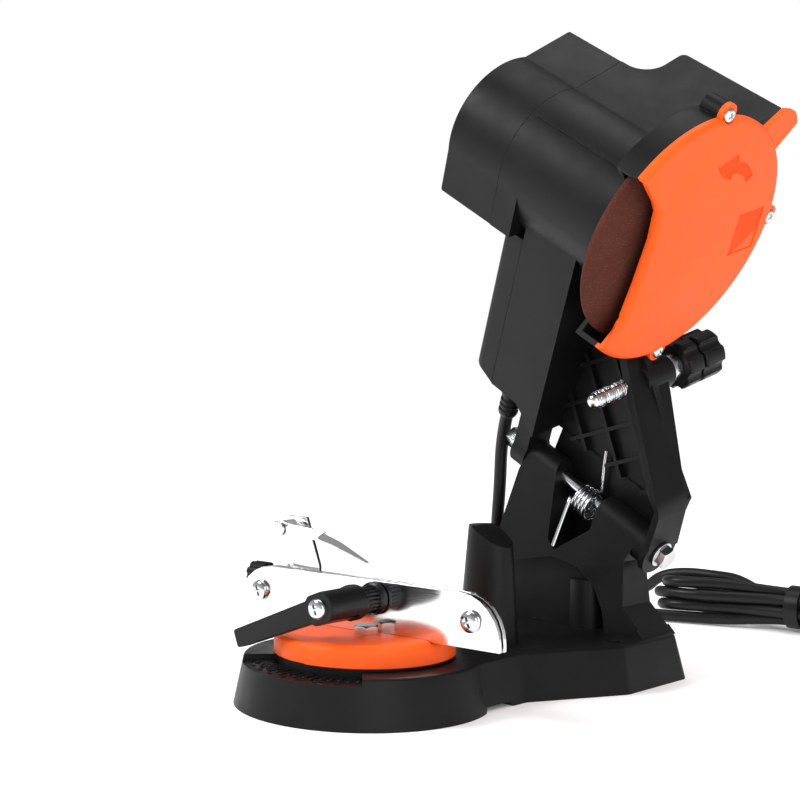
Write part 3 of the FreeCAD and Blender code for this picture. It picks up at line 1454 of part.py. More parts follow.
def make_switch():
    """A rocker switch in the back of the handle box; Z points out of the box here."""
    long = D["switch_long"] / 2
    wide = D["switch_wide"] / 2
    edge = D["bezel_edge"]
    body = body_of("switch_body", SWITCH)
    pad(body, "XY", -14, 0, box_points(-long, -wide, long, wide))
    pad(body, "XY", 0, 1.5, box_points(-long - edge, -wide - edge, long + edge, wide + edge))
    cut(body, "XY", -6, 1.5, box_points(1.6 - long, 1.1 - wide, long - 1.6, wide - 1.1))
    keep("switch_body", body)
    lean = Rotation(Vector(0, 1, 0), -number(D["rocker_tilt"]))
    rocker = body_of("switch_rocker", at(SWITCH, 0, 0, -1, lean))
    key = long - 2
    pad(rocker, "XZ", 1.5 - wide, wide - 1.5, [(-key, -2), (key, -2), (key, 3.4), (0, 2.2), (-key, 3.4)])
    keep("switch_rocker", rocker)


# ---------------------------------------------------------------- power cord
def make_relief():
    """The ribbed sleeve that holds the cord where it leaves the arm, its neck in the housing's hole."""
    top = D["box_bottom"] - 0.5
    low = top - D["relief_length"]
    radius = D["relief_radius"]
    outline = [(0, low), (radius - 0.8, low), (radius - 0.3, low + 1)]
    for i in range(3):
        ring_start = low + 2 + i * 3
        outline += [(radius, ring_start), (radius, ring_start + 1.6), (radius - 0.9, ring_start + 1.8),
                    (radius - 0.9, ring_start + 2.8)]
    neck = D["cord_radius"] + 0.4 - D["shaft_gap"]
    outline += [(radius, low + 11.5), (radius, top - 0.3), (neck, top - 0.3), (neck, top + 6), (0, top + 6)]
    frame = at(ARM, D["relief_place"], D["relief_depth"], 0)
    keep("strain_relief", turned("strain_relief", frame, outline))
    return ARM.multVec(vector(D["relief_place"], D["relief_depth"], low))


def cord_tube(label, points):
    """A stretch of cord along straight runs and tangent arcs."""
    radius = number(D["cord_radius"])
    shape, length, radii = wire_solid(points, radius)
    print(label, "length", round(length, 1), "radii", [round(r, 1) for r in radii],
          "volume share", round(shape.Volume / (math.pi * radius ** 2 * length), 4))
    feature(label, shape)


def hank_end(flip):
    """One end of the hank from above: its loops spread out, then gather towards the tie."""
    wide = D["hank_width"] / 2
    neck = (D["hank_length"] - D["tie_width"]) / 2 - 0.5
    side = [(0, wide * 0.52), (6, wide * 0.83), (16, wide), (36, wide * 0.96), (60, wide * 0.65), (neck, wide * 0.5)]
    outline = side + [(x, -y) for x, y in reversed(side)]
    return [(D["hank_length"] - x, y) for x, y in outline] if flip else outline


def make_hank():
    """The folded cord: two flat ends and a round waist, where the tie holds it."""
    frame = Placement(Vector(-33, 291, 0.2), Rotation(Vector(0, 0, 1), 6))
    hank = body_of("cord_hank", frame)
    high = D["hank_height"]
    waist = D["hank_waist"]
    start = (D["hank_length"] - D["tie_width"]) / 2
    pad(hank, "XY", 0, high, hank_end(False))
    pad(hank, "XY", 0, high, hank_end(True))
    primitive("AdditiveCylinder", hank, at(WORLD, start - 2, 0, high / 2, ALONG_X), Radius=waist,
              Height=D["tie_width"] + 4)
    keep("cord_hank", hank)
    gap = D["running_gap"]
    tie = ring(waist + gap + 1.3, waist + gap, start, start + D["tie_width"])
    keep("cord_tie", turned("cord_tie", at(frame, 0, 0, high / 2, ALONG_X), tie))


def make_cord():
    exit_point = make_relief()
    away = ARM.Rotation.multVec(Vector(0, 0, -1))
    first = exit_point + away * 16
    cord_tube("power_cord", [
        tuple(exit_point), tuple(first), (-30.5, 133.5, 84), (-33.5, 135, 60), (-37, 144, 38), (-38, 158, 22),
        (-35, 174, 10), (-30, 194, 4.2), (-27, 216, 3.7), (-31, 236, 3.7), (-33.5, 254, 3.8), (-24.4, 271.5, 4.2)])
    make_hank()
    tail = [(-35.5, 305, 12), (-46, 305.5, 10), (-58.5, 308.5, 8.5), (-71.5, 311.5, 8.8), (-84, 312, 9)]
    cord_tube("cord_tail", tail)
    run = Vector(*tail[-1]) - Vector(*tail[-2])
    plug_frame = Placement(Vector(*tail[-1]), Rotation(Vector(0, 0, 1), run))
    radius = D["plug_radius"]
    end = D["plug_length"]
    plug = turned("power_plug", plug_frame, [
        (0, 0), (4.2, 0), (5, 8), (6.2, 14), (radius, 20), (radius, end), (0, end)])
    keep("power_plug", plug)
    pins = [turned(f"plug_pin_{i + 1}", plug_frame * Placement(Vector(0, side * 4.5, 0), Rotation()),
                   [(0, end), (2, end), (2, end + 17), (1.2, end + 19), (0, end + 19)])
            for i, side in enumerate((-1, 1))]
    group("plug_pins", pins)


make_switch()
make_cord()


# ---------------------------------------------------------------- check and export
def export_nodes():
    doc.recompute()
    for item in doc.Objects:
        if "Invalid" in item.State or "Error" in item.State:
            raise RuntimeError(f"{item.Label} failed to build: {item.State}")
    os.makedirs("parts", exist_ok=True)
    for label, item in NODES.items():
        if item.Shape.isNull() or not item.Shape.isValid():
            raise RuntimeError(f"{label} has no valid shape")
        item.Shape.exportStep(f"parts/{label}.step")
        print(f"{label}: {len(item.Shape.Solids)} solids, {item.Shape.Volume / 1000:.2f} cm3")


export_nodes()
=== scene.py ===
import bmesh
import bpy
import json
import math
from mathutils import Matrix, Vector


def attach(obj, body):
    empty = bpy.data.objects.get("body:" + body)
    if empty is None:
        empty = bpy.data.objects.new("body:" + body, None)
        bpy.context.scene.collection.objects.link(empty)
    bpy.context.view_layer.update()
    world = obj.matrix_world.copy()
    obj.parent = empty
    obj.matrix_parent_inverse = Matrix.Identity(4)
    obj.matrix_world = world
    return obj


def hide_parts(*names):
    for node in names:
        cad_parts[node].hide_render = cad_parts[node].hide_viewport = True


# electric chainsaw sharpener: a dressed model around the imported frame, sizes in millimetres
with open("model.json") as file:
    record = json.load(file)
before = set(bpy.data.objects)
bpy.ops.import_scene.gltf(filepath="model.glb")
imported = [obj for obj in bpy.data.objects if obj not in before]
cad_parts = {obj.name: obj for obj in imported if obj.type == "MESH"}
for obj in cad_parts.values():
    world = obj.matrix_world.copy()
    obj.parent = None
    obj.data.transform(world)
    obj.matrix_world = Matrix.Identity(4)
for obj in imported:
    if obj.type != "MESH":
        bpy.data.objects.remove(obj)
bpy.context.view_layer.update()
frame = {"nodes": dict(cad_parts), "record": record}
scene = bpy.context.scene
mm = 0.001
nodeObjects = frame["nodes"]
nodeBody = {name: body for body, names in frame["record"]["behaviour"]["bodies"].items() for name in names}
slotOf = {row["node"]: row["material_slot"] for row in frame["record"]["subparts"]}


def turn(degrees, axis):
    return Matrix.Rotation(math.radians(degrees), 4, axis)


def shift(x, y, z):
    return Matrix.Translation((x * mm, y * mm, z * mm))


stance = {"tilt": 30, "lean": 20, "tableTurn": 4, "pivotBack": 134, "pivotUp": 84,
          "wheelBack": 19.5, "wheelUp": 139}
tableFrame = turn(stance["tableTurn"], "Z")
earsFrame = shift(0, stance["pivotBack"], 0) @ turn(stance["tilt"], "Y") @ shift(0, 0, stance["pivotUp"])
armFrame = earsFrame @ turn(stance["lean"], "X")
wheelFrame = armFrame @ shift(0, stance["wheelBack"], stance["wheelUp"])
# a lathe's own Z laid along X, along Y and towards the front
alongX = turn(90, "Y")
alongY = turn(-90, "X")
towardsFront = turn(90, "X")

# camera and light
view = {"azimuth": 41.33, "elevation": 2.16, "roll": 1.165, "right": 16.1, "up": 131.0, "distance": 682.4,
        "lens": 70.64, "sensor": 36}


def makeCamera():
    data = bpy.data.cameras.new("camera")
    data.lens = view["lens"]
    data.sensor_width = view["sensor"]
    data.clip_start = 0.01
    camera = bpy.data.objects.new("camera", data)
    scene.collection.objects.link(camera)
    towards = turn(view["azimuth"], "Z") @ turn(90 - view["elevation"], "X") @ turn(view["roll"], "Z")
    camera.matrix_world = towards @ shift(view["right"], view["up"], view["distance"])
    scene.camera = camera


studio = {
    "world": (1.0, 1.0, 1.0),
    "room": (0.62, 0.16),     # reflected brightness at the horizon and overhead
    "roomHeights": (-0.1, 0.7),
    "aim": (0.02, 0.1, 0.12),
    # name: place in metres, width, height, watts
    "key": ((-0.75, -0.95, 1.15), 0.5, 0.5, 14),
    "fill": ((1.25, -0.75, 0.5), 0.9, 0.9, 5),
    "top": ((-0.1, 0.25, 1.5), 0.9, 0.6, 5),
}


def makeStudio():
    world = bpy.data.worlds.new("studio")
    world.use_nodes = True
    tree = world.node_tree
    background = tree.nodes["Background"]
    background.inputs["Color"].default_value = (*studio["world"], 1)
    # reflections see a dim room behind the lamps, everything else an even white
    direction = addNode(tree, "ShaderNodeTexCoord").outputs["Generated"]
    height = addNode(tree, "ShaderNodeSeparateXYZ", {"Vector": direction}).outputs["Z"]
    sweep = mapRange(tree, height, studio["roomHeights"], studio["room"])
    shiny = addNode(tree, "ShaderNodeLightPath").outputs["Is Glossy Ray"]
    dimmed = addMath(tree, "MULTIPLY", shiny, addMath(tree, "SUBTRACT", 1.0, sweep))
    tree.links.new(addMath(tree, "SUBTRACT", 1.0, dimmed), background.inputs["Strength"])
    scene.world = world
    aim = Vector(studio["aim"])
    for name in ("key", "fill", "top"):
        place, wide, high, watts = studio[name]
        data = bpy.data.lights.new(name, "AREA")
        data.shape = "RECTANGLE"
        data.size = wide
        data.size_y = high
        data.energy = watts
        light = bpy.data.objects.new(name, data)
        light.location = place
        light.rotation_euler = (aim - Vector(place)).to_track_quat("-Z", "Y").to_euler()
        scene.collection.objects.link(light)
    scene.view_settings.view_transform = "Standard"
    scene.view_settings.look = "None"


# node helpers
def addNode(tree, kind, values=None, **settings):
    made = tree.nodes.new(kind)
    for name, value in settings.items():
        setattr(made, name, value)
    for name, value in (values or {}).items():
        if isinstance(value, bpy.types.NodeSocket):
            tree.links.new(value, made.inputs[name])
        else:
            made.inputs[name].default_value = value
    return made


def addMath(tree, operation, *values):
    return addNode(tree, "ShaderNodeMath", dict(enumerate(values)), operation=operation).outputs[0]


def mapRange(tree, value, source, target=(0.0, 1.0)):
    made = addNode(tree, "ShaderNodeMapRange", {"Value": value, "From Min": source[0], "From Max": source[1],
                                                "To Min": target[0], "To Max": target[1]})
    return made.outputs[0]


def perMetre(tree, perMm):
    return addMath(tree, "MULTIPLY", perMm, 1000.0)


def objectPlace(tree):
    return addNode(tree, "ShaderNodeTexCoord").outputs["Object"]


def addNoise(tree, place, scale, detail, roughness=0.5):
    made = addNode(tree, "ShaderNodeTexNoise", {"Vector": place, "Scale": scale, "Detail": detail,
                                                "Roughness": roughness})
    return made.outputs[0]


def makeGroup(name, kind, inputs, outputs):
    # inputs and outputs are {name: (socket type, default)}
    tree = bpy.data.node_groups.new(name, kind)
    for direction, sockets in (("INPUT", inputs), ("OUTPUT", outputs)):
        for label, (form, value) in sockets.items():
            socket = tree.interface.new_socket(label, in_out=direction, socket_type=form)
            if value is not None:
                socket.default_value = value
    return tree, tree.nodes.new("NodeGroupInput"), tree.nodes.new("NodeGroupOutput")


number, vector = "NodeSocketFloat", "NodeSocketVector"


def makeGrainGroup():
    # fine moulded grain and a slow mottle, both from the piece's own place in space
    tree, given, out = makeGroup("mouldedGrain", "ShaderNodeTree",
                                 {"Grain per mm": (number, 2.5), "Mottle per mm": (number, 0.04)},
                                 {"Height": (number, None), "Mottle": (number, None)})
    place = objectPlace(tree)
    fineScale = perMetre(tree, given.outputs["Grain per mm"])
    slowScale = perMetre(tree, given.outputs["Mottle per mm"])
    fine = addNoise(tree, place, fineScale, 3.0, 0.6)
    pits = addNode(tree, "ShaderNodeTexVoronoi", {"Vector": place, "Scale": fineScale}, feature="SMOOTH_F1")
    slow = addNoise(tree, place, slowScale, 5.0, 0.62)
    height = addMath(tree, "ADD", fine, addMath(tree, "MULTIPLY", pits.outputs["Distance"], 0.5))
    tree.links.new(height, out.inputs["Height"])
    tree.links.new(slow, out.inputs["Mottle"])
    return tree


def makeEdgeGroup():
    # 0 on flats, towards 1 where the surface turns within a small radius: the mask for a painted highlight,
    # with slight wear, along sharp edges
    tree, given, out = makeGroup("wornEdges", "ShaderNodeTree",
                                 {"Radius": (number, 0.0006), "Breakup per mm": (number, 0.35)},
                                 {"Mask": (number, None)})
    rounded = addNode(tree, "ShaderNodeBevel", {"Radius": given.outputs["Radius"]}, samples=6)
    flat = addNode(tree, "ShaderNodeNewGeometry")
    same = addNode(tree, "ShaderNodeVectorMath", {0: rounded.outputs[0], 1: flat.outputs["Normal"]},
                   operation="DOT_PRODUCT").outputs["Value"]
    turned = addMath(tree, "SUBTRACT", 1.0, same)
    patchy = addNoise(tree, objectPlace(tree), perMetre(tree, given.outputs["Breakup per mm"]), 4.0)
    patches = mapRange(tree, patchy, (0.35, 0.7))
    strong = mapRange(tree, turned, (0.02, 0.22))
    tree.links.new(addMath(tree, "MULTIPLY", strong, patches), out.inputs["Mask"])
    return tree


def makeBrushGroup():
    # fine brush lines along one direction, and a few soft smears
    tree, given, out = makeGroup("brushLines", "ShaderNodeTree",
                                 {"Along": (vector, (40.0, 2500.0, 2500.0))},
                                 {"Lines": (number, None), "Smears": (number, None)})
    place = objectPlace(tree)
    backTurn = (0, 0, -math.radians(stance["tableTurn"]))
    laid = addNode(tree, "ShaderNodeMapping", {"Vector": place, "Rotation": backTurn,
                                               "Scale": given.outputs["Along"]})
    tree.links.new(addNoise(tree, laid.outputs[0], 1.0, 4.0), out.inputs["Lines"])
    tree.links.new(addNoise(tree, place, 60.0, 3.0), out.inputs["Smears"])
    return tree


def makeGritGroup():
    # abrasive grains in resin: pale and dark specks of mixed size, and a rough height
    tree, given, out = makeGroup("abrasiveGrit", "ShaderNodeTree", {"Grains per mm": (number, 1.6)},
                                 {"Pale": (number, None), "Dark": (number, None), "Height": (number, None)})
    place = objectPlace(tree)
    scale = perMetre(tree, given.outputs["Grains per mm"])
    cells = addNode(tree, "ShaderNodeTexVoronoi", {"Vector": place, "Scale": scale, "Randomness": 1.0})
    random = addNode(tree, "ShaderNodeSeparateColor", {"Color": cells.outputs["Color"]})
    near = mapRange(tree, cells.outputs["Distance"], (0.42, 0.18))
    pale = addMath(tree, "MULTIPLY", near, addMath(tree, "GREATER_THAN", random.outputs[0], 0.84))
    dark = addMath(tree, "MULTIPLY", near, addMath(tree, "GREATER_THAN", random.outputs[1], 0.72))
    rough = addNoise(tree, place, addMath(tree, "MULTIPLY", scale, 1.7), 3.0)
    tree.links.new(pale, out.inputs["Pale"])
    tree.links.new(dark, out.inputs["Dark"])
    tree.links.new(addMath(tree, "ADD", rough, addMath(tree, "MULTIPLY", near, 0.5)), out.inputs["Height"])
    return tree


grainGroup = makeGrainGroup()
edgeGroup = makeEdgeGroup()
brushGroup = makeBrushGroup()
gritGroup = makeGritGroup()


# materials
def startMaterial(name):
    made = bpy.data.materials.new(name)
    made.use_nodes = True
    return made, made.node_tree, made.node_tree.nodes["Principled BSDF"]


def useGroup(tree, group, **values):
    made = tree.nodes.new("ShaderNodeGroup")
    made.node_tree = group
    for name, value in values.items():
        made.inputs[name.replace("_", " ")].default_value = value
    return made


def mixColour(tree, share, first, second):
    made = tree.nodes.new("ShaderNodeMix")
    made.data_type = "RGBA"
    made.clamp_factor = True
    tree.links.new(share, made.inputs[0])
    for socket, value in ((made.inputs[6], first), (made.inputs[7], second)):
        if isinstance(value, bpy.types.NodeSocket):
            tree.links.new(value, socket)
        else:
            socket.default_value = (*value, 1)
    return made.outputs[2]


def addBump(tree, shader, height, strength, reach):
    bump = addNode(tree, "ShaderNodeBump", {"Height": height, "Strength": strength, "Distance": reach * mm})
    tree.links.new(bump.outputs[0], shader.inputs["Normal"])


def brighter(colour, gain, lift):
    return tuple(min(1.0, part * gain + lift) for part in colour)


def makePlastic(name, colour, edgeHighlightAndWearColour, rough, grain=2.6, bump=0.25, depth=0.03, edgeHighlightAndWearShare=0.6, specular=0.5):
    made, tree, shader = startMaterial(name)
    skin = useGroup(tree, grainGroup, Grain_per_mm=grain, Mottle_per_mm=0.05)
    edges = useGroup(tree, edgeGroup)
    cloudy = mapRange(tree, skin.outputs["Mottle"], (0.3, 0.75), (0.0, 0.35))
    base = mixColour(tree, cloudy, colour, brighter(colour, 1.45, 0.004))
    # sharp edges take a lighter colour: a painted highlight with slight wear
    edgeHighlightAndWearMask = addMath(tree, "MULTIPLY", edges.outputs["Mask"], edgeHighlightAndWearShare)
    tree.links.new(mixColour(tree, edgeHighlightAndWearMask, base, edgeHighlightAndWearColour), shader.inputs["Base Color"])
    roughness = mapRange(tree, skin.outputs["Mottle"], (0.3, 0.7), (rough - 0.06, rough + 0.08))
    tree.links.new(roughness, shader.inputs["Roughness"])
    addBump(tree, shader, skin.outputs["Height"], bump, depth)
    shader.inputs["Specular IOR Level"].default_value = specular
    return made


def makeMetal(name, colour, dull, rough, along=(900.0, 900.0, 900.0), bump=0.06):
    made, tree, shader = startMaterial(name)
    lines = useGroup(tree, brushGroup, Along=along)
    tree.links.new(mixColour(tree, lines.outputs["Smears"], colour, dull), shader.inputs["Base Color"])
    roughness = mapRange(tree, lines.outputs["Lines"], (0.3, 0.7), (rough * 0.75, rough * 1.35))
    tree.links.new(roughness, shader.inputs["Roughness"])
    shader.inputs["Metallic"].default_value = 1.0
    addBump(tree, shader, lines.outputs["Lines"], bump, 0.02)
    return made


def makeAbrasive(name, resin, pale, dark):
    made, tree, shader = startMaterial(name)
    grit = useGroup(tree, gritGroup)
    skin = useGroup(tree, grainGroup, Grain_per_mm=3.0, Mottle_per_mm=0.06)
    body = mixColour(tree, skin.outputs["Mottle"], resin, brighter(resin, 1.35, 0.01))
    body = mixColour(tree, addMath(tree, "MULTIPLY", grit.outputs["Dark"], 0.6), body, dark)
    body = mixColour(tree, addMath(tree, "MULTIPLY", grit.outputs["Pale"], 0.75), body, pale)
    tree.links.new(body, shader.inputs["Base Color"])
    shader.inputs["Roughness"].default_value = 0.82
    shader.inputs["Specular IOR Level"].default_value = 0.12
    addBump(tree, shader, grit.outputs["Height"], 0.5, 0.10)
    return made


# each plastic's second colour is its lighter edge colour, a painted highlight with slight wear
materials = {
    "black_body": makePlastic("satinBlackMoulding", (0.0048, 0.0050, 0.0054), (0.04, 0.042, 0.045), 0.44,
                              specular=0.2),
    "black_detail": makePlastic("smoothBlackMoulding", (0.005, 0.0052, 0.0055), (0.04, 0.04, 0.042), 0.36,
                                bump=0.14, specular=0.22),
    "orange_plastic": makePlastic("orangeMoulding", (0.90, 0.092, 0.006), (1.0, 0.24, 0.05), 0.42, grain=2.0,
                                  bump=0.10, depth=0.02, edgeHighlightAndWearShare=0.35, specular=0.18),
    "cord_rubber": makePlastic("softCordSheath", (0.006, 0.006, 0.0065), (0.03, 0.03, 0.03), 0.40, grain=1.4,
                               bump=0.1, edgeHighlightAndWearShare=0.3, specular=0.3),
    "zinc_steel": makeMetal("brightZinc", (0.80, 0.81, 0.82), (0.62, 0.64, 0.66), 0.17),
    "polished_steel": makeMetal("polishedPlate", (0.95, 0.95, 0.95), (0.87, 0.88, 0.89), 0.13,
                                along=(60.0, 2600.0, 2600.0), bump=0.05),
    "dark_steel": makeMetal("blackOxideSteel", (0.050, 0.052, 0.056), (0.028, 0.028, 0.03), 0.30),
    "wheel_abrasive": makeAbrasive("resinAbrasive", (0.064, 0.0155, 0.0085), (0.20, 0.085, 0.055),
                                   (0.022, 0.008, 0.006)),
    "orange_recess": makePlastic("sunkenOrange", (0.80, 0.060, 0.003), (0.9, 0.2, 0.03), 0.55, grain=2.4,
                                 edgeHighlightAndWearShare=0.1, specular=0.1),
    "copper_windings": makeMetal("varnishedCopper", (0.45, 0.19, 0.08), (0.30, 0.12, 0.05), 0.35),
    "bearing_steel": makeMetal("groundBearingSteel", (0.62, 0.62, 0.64), (0.5, 0.5, 0.52), 0.22),
    "carbon": makePlastic("carbonBrush", (0.10, 0.085, 0.06), (0.3, 0.25, 0.15), 0.6),
    "fan_plastic": makePlastic("paleNylon", (0.72, 0.70, 0.64), (0.8, 0.78, 0.74), 0.45),
}
print("stage: materials", len(materials))


# mesh helpers
def newPiece(name, mesh):
    piece = bpy.data.objects.new(name, mesh)
    scene.collection.objects.link(piece)
    return piece


def evaluated(piece, name=None):
    # the piece with its modifiers made part of its mesh
    bpy.context.view_layer.update()
    graph = bpy.context.evaluated_depsgraph_get()
    mesh = bpy.data.meshes.new_from_object(piece.evaluated_get(graph))
    old = piece.data
    fresh = newPiece(name or piece.name, mesh)
    label = piece.name
    bpy.data.objects.remove(piece)
    if isinstance(old, bpy.types.Mesh) and old.users == 0:
        bpy.data.meshes.remove(old)
    fresh.name = name or label
    return fresh


def smoothByAngle(mesh, degrees):
    # smooth faces, with the edges that turn by more than an angle kept crisp
    mesh.polygons.foreach_set("use_smooth", [True] * len(mesh.polygons))
    work = bmesh.new()
    work.from_mesh(mesh)
    limit = math.radians(degrees)
    for edge in work.edges:
        edge.smooth = len(edge.link_faces) == 2 and edge.calc_face_angle(0) < limit
    work.to_mesh(mesh)
    work.free()


def roundEdges(piece, width, segments=2, degrees=32):
    if width:
        bevel = piece.modifiers.new("edges", "BEVEL")
        bevel.width = width * mm
        bevel.segments = segments
        bevel.limit_method = "ANGLE"
        bevel.angle_limit = math.radians(degrees)
        bevel.use_clamp_overlap = False
        bevel.harden_normals = True
        bevel.miter_outer = "MITER_ARC"
        piece = evaluated(piece)
    return piece


def finishPiece(piece, body, slotName, replaced=(), material=None):
    piece.data.materials.clear()
    piece.data.materials.append(material or materials[slotName])
    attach(piece, body)
    if replaced:
        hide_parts(*replaced)
    return piece


def cadCopy(node, name):
    # a node's shape with its loose triangles merged and its flats joined
    mesh = nodeObjects[node].data.copy()
    work = bmesh.new()
    work.from_mesh(mesh)
    bmesh.ops.remove_doubles(work, verts=work.verts, dist=2e-6)
    bmesh.ops.dissolve_limit(work, angle_limit=math.radians(0.4), verts=work.verts, edges=work.edges)
    work.to_mesh(mesh)
    work.free()
    return newPiece(name, mesh)


def dress(node, width):
    # the node's own shape with softened edges and its finish
    piece = cadCopy(node, f"{node}_dressed")
    smoothByAngle(piece.data, 32)
    piece = roundEdges(piece, width)
    return finishPiece(piece, nodeBody[node], slotOf[node], (node,))


def arcOf(radius, angles):
    return [(radius * math.cos(angle), radius * math.sin(angle)) for angle in angles]


def ringOf(radius, count):
    return arcOf(radius, [2 * math.pi * i / count for i in range(count)])


def lathe(name, outline, place, around=96):
    # an outline of (radius, height) in mm spun about the place's Z axis
    work = bmesh.new()
    rings = []
    for radius, height in outline:
        if radius < 1e-6:
            rings.append([work.verts.new((0, 0, height * mm))])
            continue
        rings.append([work.verts.new((x * mm, y * mm, height * mm)) for x, y in ringOf(radius, around)])
    loops = list(zip(rings, rings[1:]))
    if len(rings[0]) > 1 and len(rings[-1]) > 1:
        loops.append((rings[-1], rings[0]))
    for low, high in loops:
        for i in range(around):
            j = (i + 1) % around
            if len(low) == 1 and len(high) == 1:
                break
            if len(low) == 1:
                work.faces.new((low[0], high[j], high[i]))
            elif len(high) == 1:
                work.faces.new((low[i], low[j], high[0]))
            else:
                work.faces.new((low[i], low[j], high[j], high[i]))
    bmesh.ops.recalc_face_normals(work, faces=work.faces)
    mesh = bpy.data.meshes.new(name)
    work.to_mesh(mesh)
    work.free()
    mesh.transform(place)
    return newPiece(name, mesh)


# power cord: one line from the sleeve, down behind the base, through a tied hank and on to the plug
cordSizes = {
    "diameter": 6.4,
    "sleeveExit": (-79, -4, 13),     # in the arm's frame
    "sleeveRun": 16,                 # straight out of the sleeve
    "down": [(-30.5, 133.5, 84), (-33.5, 135, 60), (-37, 144, 38), (-38, 158, 22), (-35, 174, 10),
             (-30, 194, 4.2), (-27, 216, 3.7), (-31, 236, 3.7), (-33.5, 254, 3.8), (-28.5, 265, 3.8)],
    "tail": [(-27, 308.5, 23.3), (-41, 305.2, 20), (-51, 306.2, 11), (-64, 309.8, 8.9), (-84, 312, 9)],
    "hankStart": (-33, 291, 0.2), "hankYaw": 6, "hankLong": 170, "hankWide": 46,
    "bundle": 7.4, "bundleUp": 13.1, "tieAt": 85,
    "slots": {0: -110, 1: -161, 2: 148, 3: 97, 5: 46, 6: -6, 7: -57},     # angles round the middle strand
    # each turn of the hank: how much it is drawn in at its sides, far end and near end, and its sway
    "turns": [(0.4, 1.5, 3.0, 0.8), (1.8, 5.0, 0.5, -1.0), (0.2, 0.5, 5.5, 0.4), (2.4, 7.0, 2.0, -0.6)],
}


def hankFrame():
    return shift(*cordSizes["hankStart"]) @ turn(cordSizes["hankYaw"], "Z")


def hankPoints():
    # flat loops one above the other, gathered into a round bundle under the tie
    turns = cordSizes["turns"]
    radius = cordSizes["diameter"] / 2
    tie = cordSizes["tieAt"]
    points = []
    for k, (sideIn, farIn, nearIn, sway) in enumerate(turns):
        height = radius + 0.3 + k * (cordSizes["diameter"] + 0.15)
        wide = cordSizes["hankWide"] / 2 - radius - sideIn
        far = cordSizes["hankLong"] - radius - farIn
        near = radius + nearIn
        outward = bundleSlot(k)
        back = bundleSlot(2 * len(turns) - 1 - k)
        points += [(near + 22, -wide * 0.97 + sway, height), (near + 42, -wide * 0.66, height + 0.2),
                   (tie - 12, outward[0], outward[1]), (tie + 12, outward[0], outward[1]),
                   (far - 42, -wide * 0.66, height + 0.2), (far - 22, -wide * 0.97, height),
                   (far - 7, -wide * 0.93, height), (far, -wide * 0.42, height), (far, wide * 0.42, height),
                   (far - 7, wide * 0.93, height), (far - 22, wide * 0.97, height),
                   (far - 42, wide * 0.66 + sway, height + 0.2),
                   (tie + 12, back[0], back[1]), (tie - 12, back[0], back[1]),
                   (near + 42, wide * 0.66 + sway, height + 0.2), (near + 22, wide * 0.97, height)]
        if k < len(turns) - 1:
            points += [(near + 7, wide * 0.93, height + 0.6), (near, wide * 0.42, height + 2.0),
                       (near, -wide * 0.42, height + 4.4), (near + 7, -wide * 0.93, height + 6.0)]
    place = hankFrame()
    return [place @ Vector((x * mm, y * mm, z * mm)) for x, y, z in points]


def bundleSlot(index):
    # eight strands in a round bundle, seven of them about one
    reach = cordSizes["bundle"]
    up = cordSizes["bundleUp"]
    if index not in cordSizes["slots"]:
        return (0.0, up)
    angle = math.radians(cordSizes["slots"][index])
    return (reach * math.cos(angle), up + reach * math.sin(angle))


def makeCurve(name, points, radius, resolution=8):
    data = bpy.data.curves.new(name, "CURVE")
    data.dimensions = "3D"
    spline = data.splines.new("NURBS")
    spline.points.add(len(points) - 1)
    for point, place in zip(spline.points, points):
        point.co = (*place, 1)
    spline.order_u = 3
    spline.use_endpoint_u = True
    spline.resolution_u = resolution
    data.bevel_depth = radius * mm
    data.bevel_resolution = 6
    data.use_fill_caps = True
    return newPiece(name, data)


def curveLength(points):
    bare = makeCurve("cord_line", points, 0)
    bpy.context.view_layer.update()
    line = bpy.data.meshes.new_from_object(bare.evaluated_get(bpy.context.evaluated_depsgraph_get()))
    length = sum((b.co - a.co).length for a, b in zip(line.vertices, line.vertices[1:]))
    bpy.data.objects.remove(bare)
    bpy.data.meshes.remove(line)
    return length


def makeCord():
    exitPoint = armFrame @ Vector([v * mm for v in cordSizes["sleeveExit"]])
    below = armFrame.to_3x3() @ Vector((0, 0, -cordSizes["sleeveRun"] * mm))
    route = [exitPoint, exitPoint + below] + [Vector(point) * mm for point in cordSizes["down"]]
    route += hankPoints() + [Vector(point) * mm for point in cordSizes["tail"]]
    length = curveLength(route)
    print("stage: cord", round(length, 3), "m")
    cord = makeCurve("mains_cord", route, cordSizes["diameter"] / 2)
    finishPiece(cord, "base", "cord_rubber", ("power_cord", "cord_hank", "cord_tail"))
    plug = dress("power_plug", 0.6)
    pins = dress("plug_pins", 0.3)
    tie = dress("cord_tie", 0.4)
    sleeve = dress("strain_relief", 0.3)


makeCamera()
makeStudio()
makeCord()
dressed = {"power_plug", "plug_pins", "cord_tie", "strain_relief"}


# mesh tools for the fittings
def joined(name, pieces):
    work = bmesh.new()
    for piece in pieces:
        work.from_mesh(piece.data)
        bpy.data.objects.remove(piece)
    mesh = bpy.data.meshes.new(name)
    work.to_mesh(mesh)
    work.free()
    return newPiece(name, mesh)


def prism(name, outline, low, high, place):
    # an outline of (x, y) in mm raised from low to high in the place's own frame
    work = bmesh.new()
    face = work.faces.new([work.verts.new((x * mm, y * mm, low * mm)) for x, y in outline])
    raised = bmesh.ops.extrude_face_region(work, geom=[face])["geom"]
    top = [item for item in raised if isinstance(item, bmesh.types.BMVert)]
    bmesh.ops.translate(work, vec=(0, 0, (high - low) * mm), verts=top)
    bmesh.ops.recalc_face_normals(work, faces=work.faces)
    mesh = bpy.data.meshes.new(name)
    work.to_mesh(mesh)
    work.free()
    mesh.transform(place)
    return newPiece(name, mesh)


def combine(piece, tools, operation):
    for tool in tools:
        step = piece.modifiers.new("shape", "BOOLEAN")
        step.operation = operation
        step.solver = "EXACT"
        step.object = tool
    made = evaluated(piece)
    for tool in tools:
        bpy.data.objects.remove(tool)
    return made


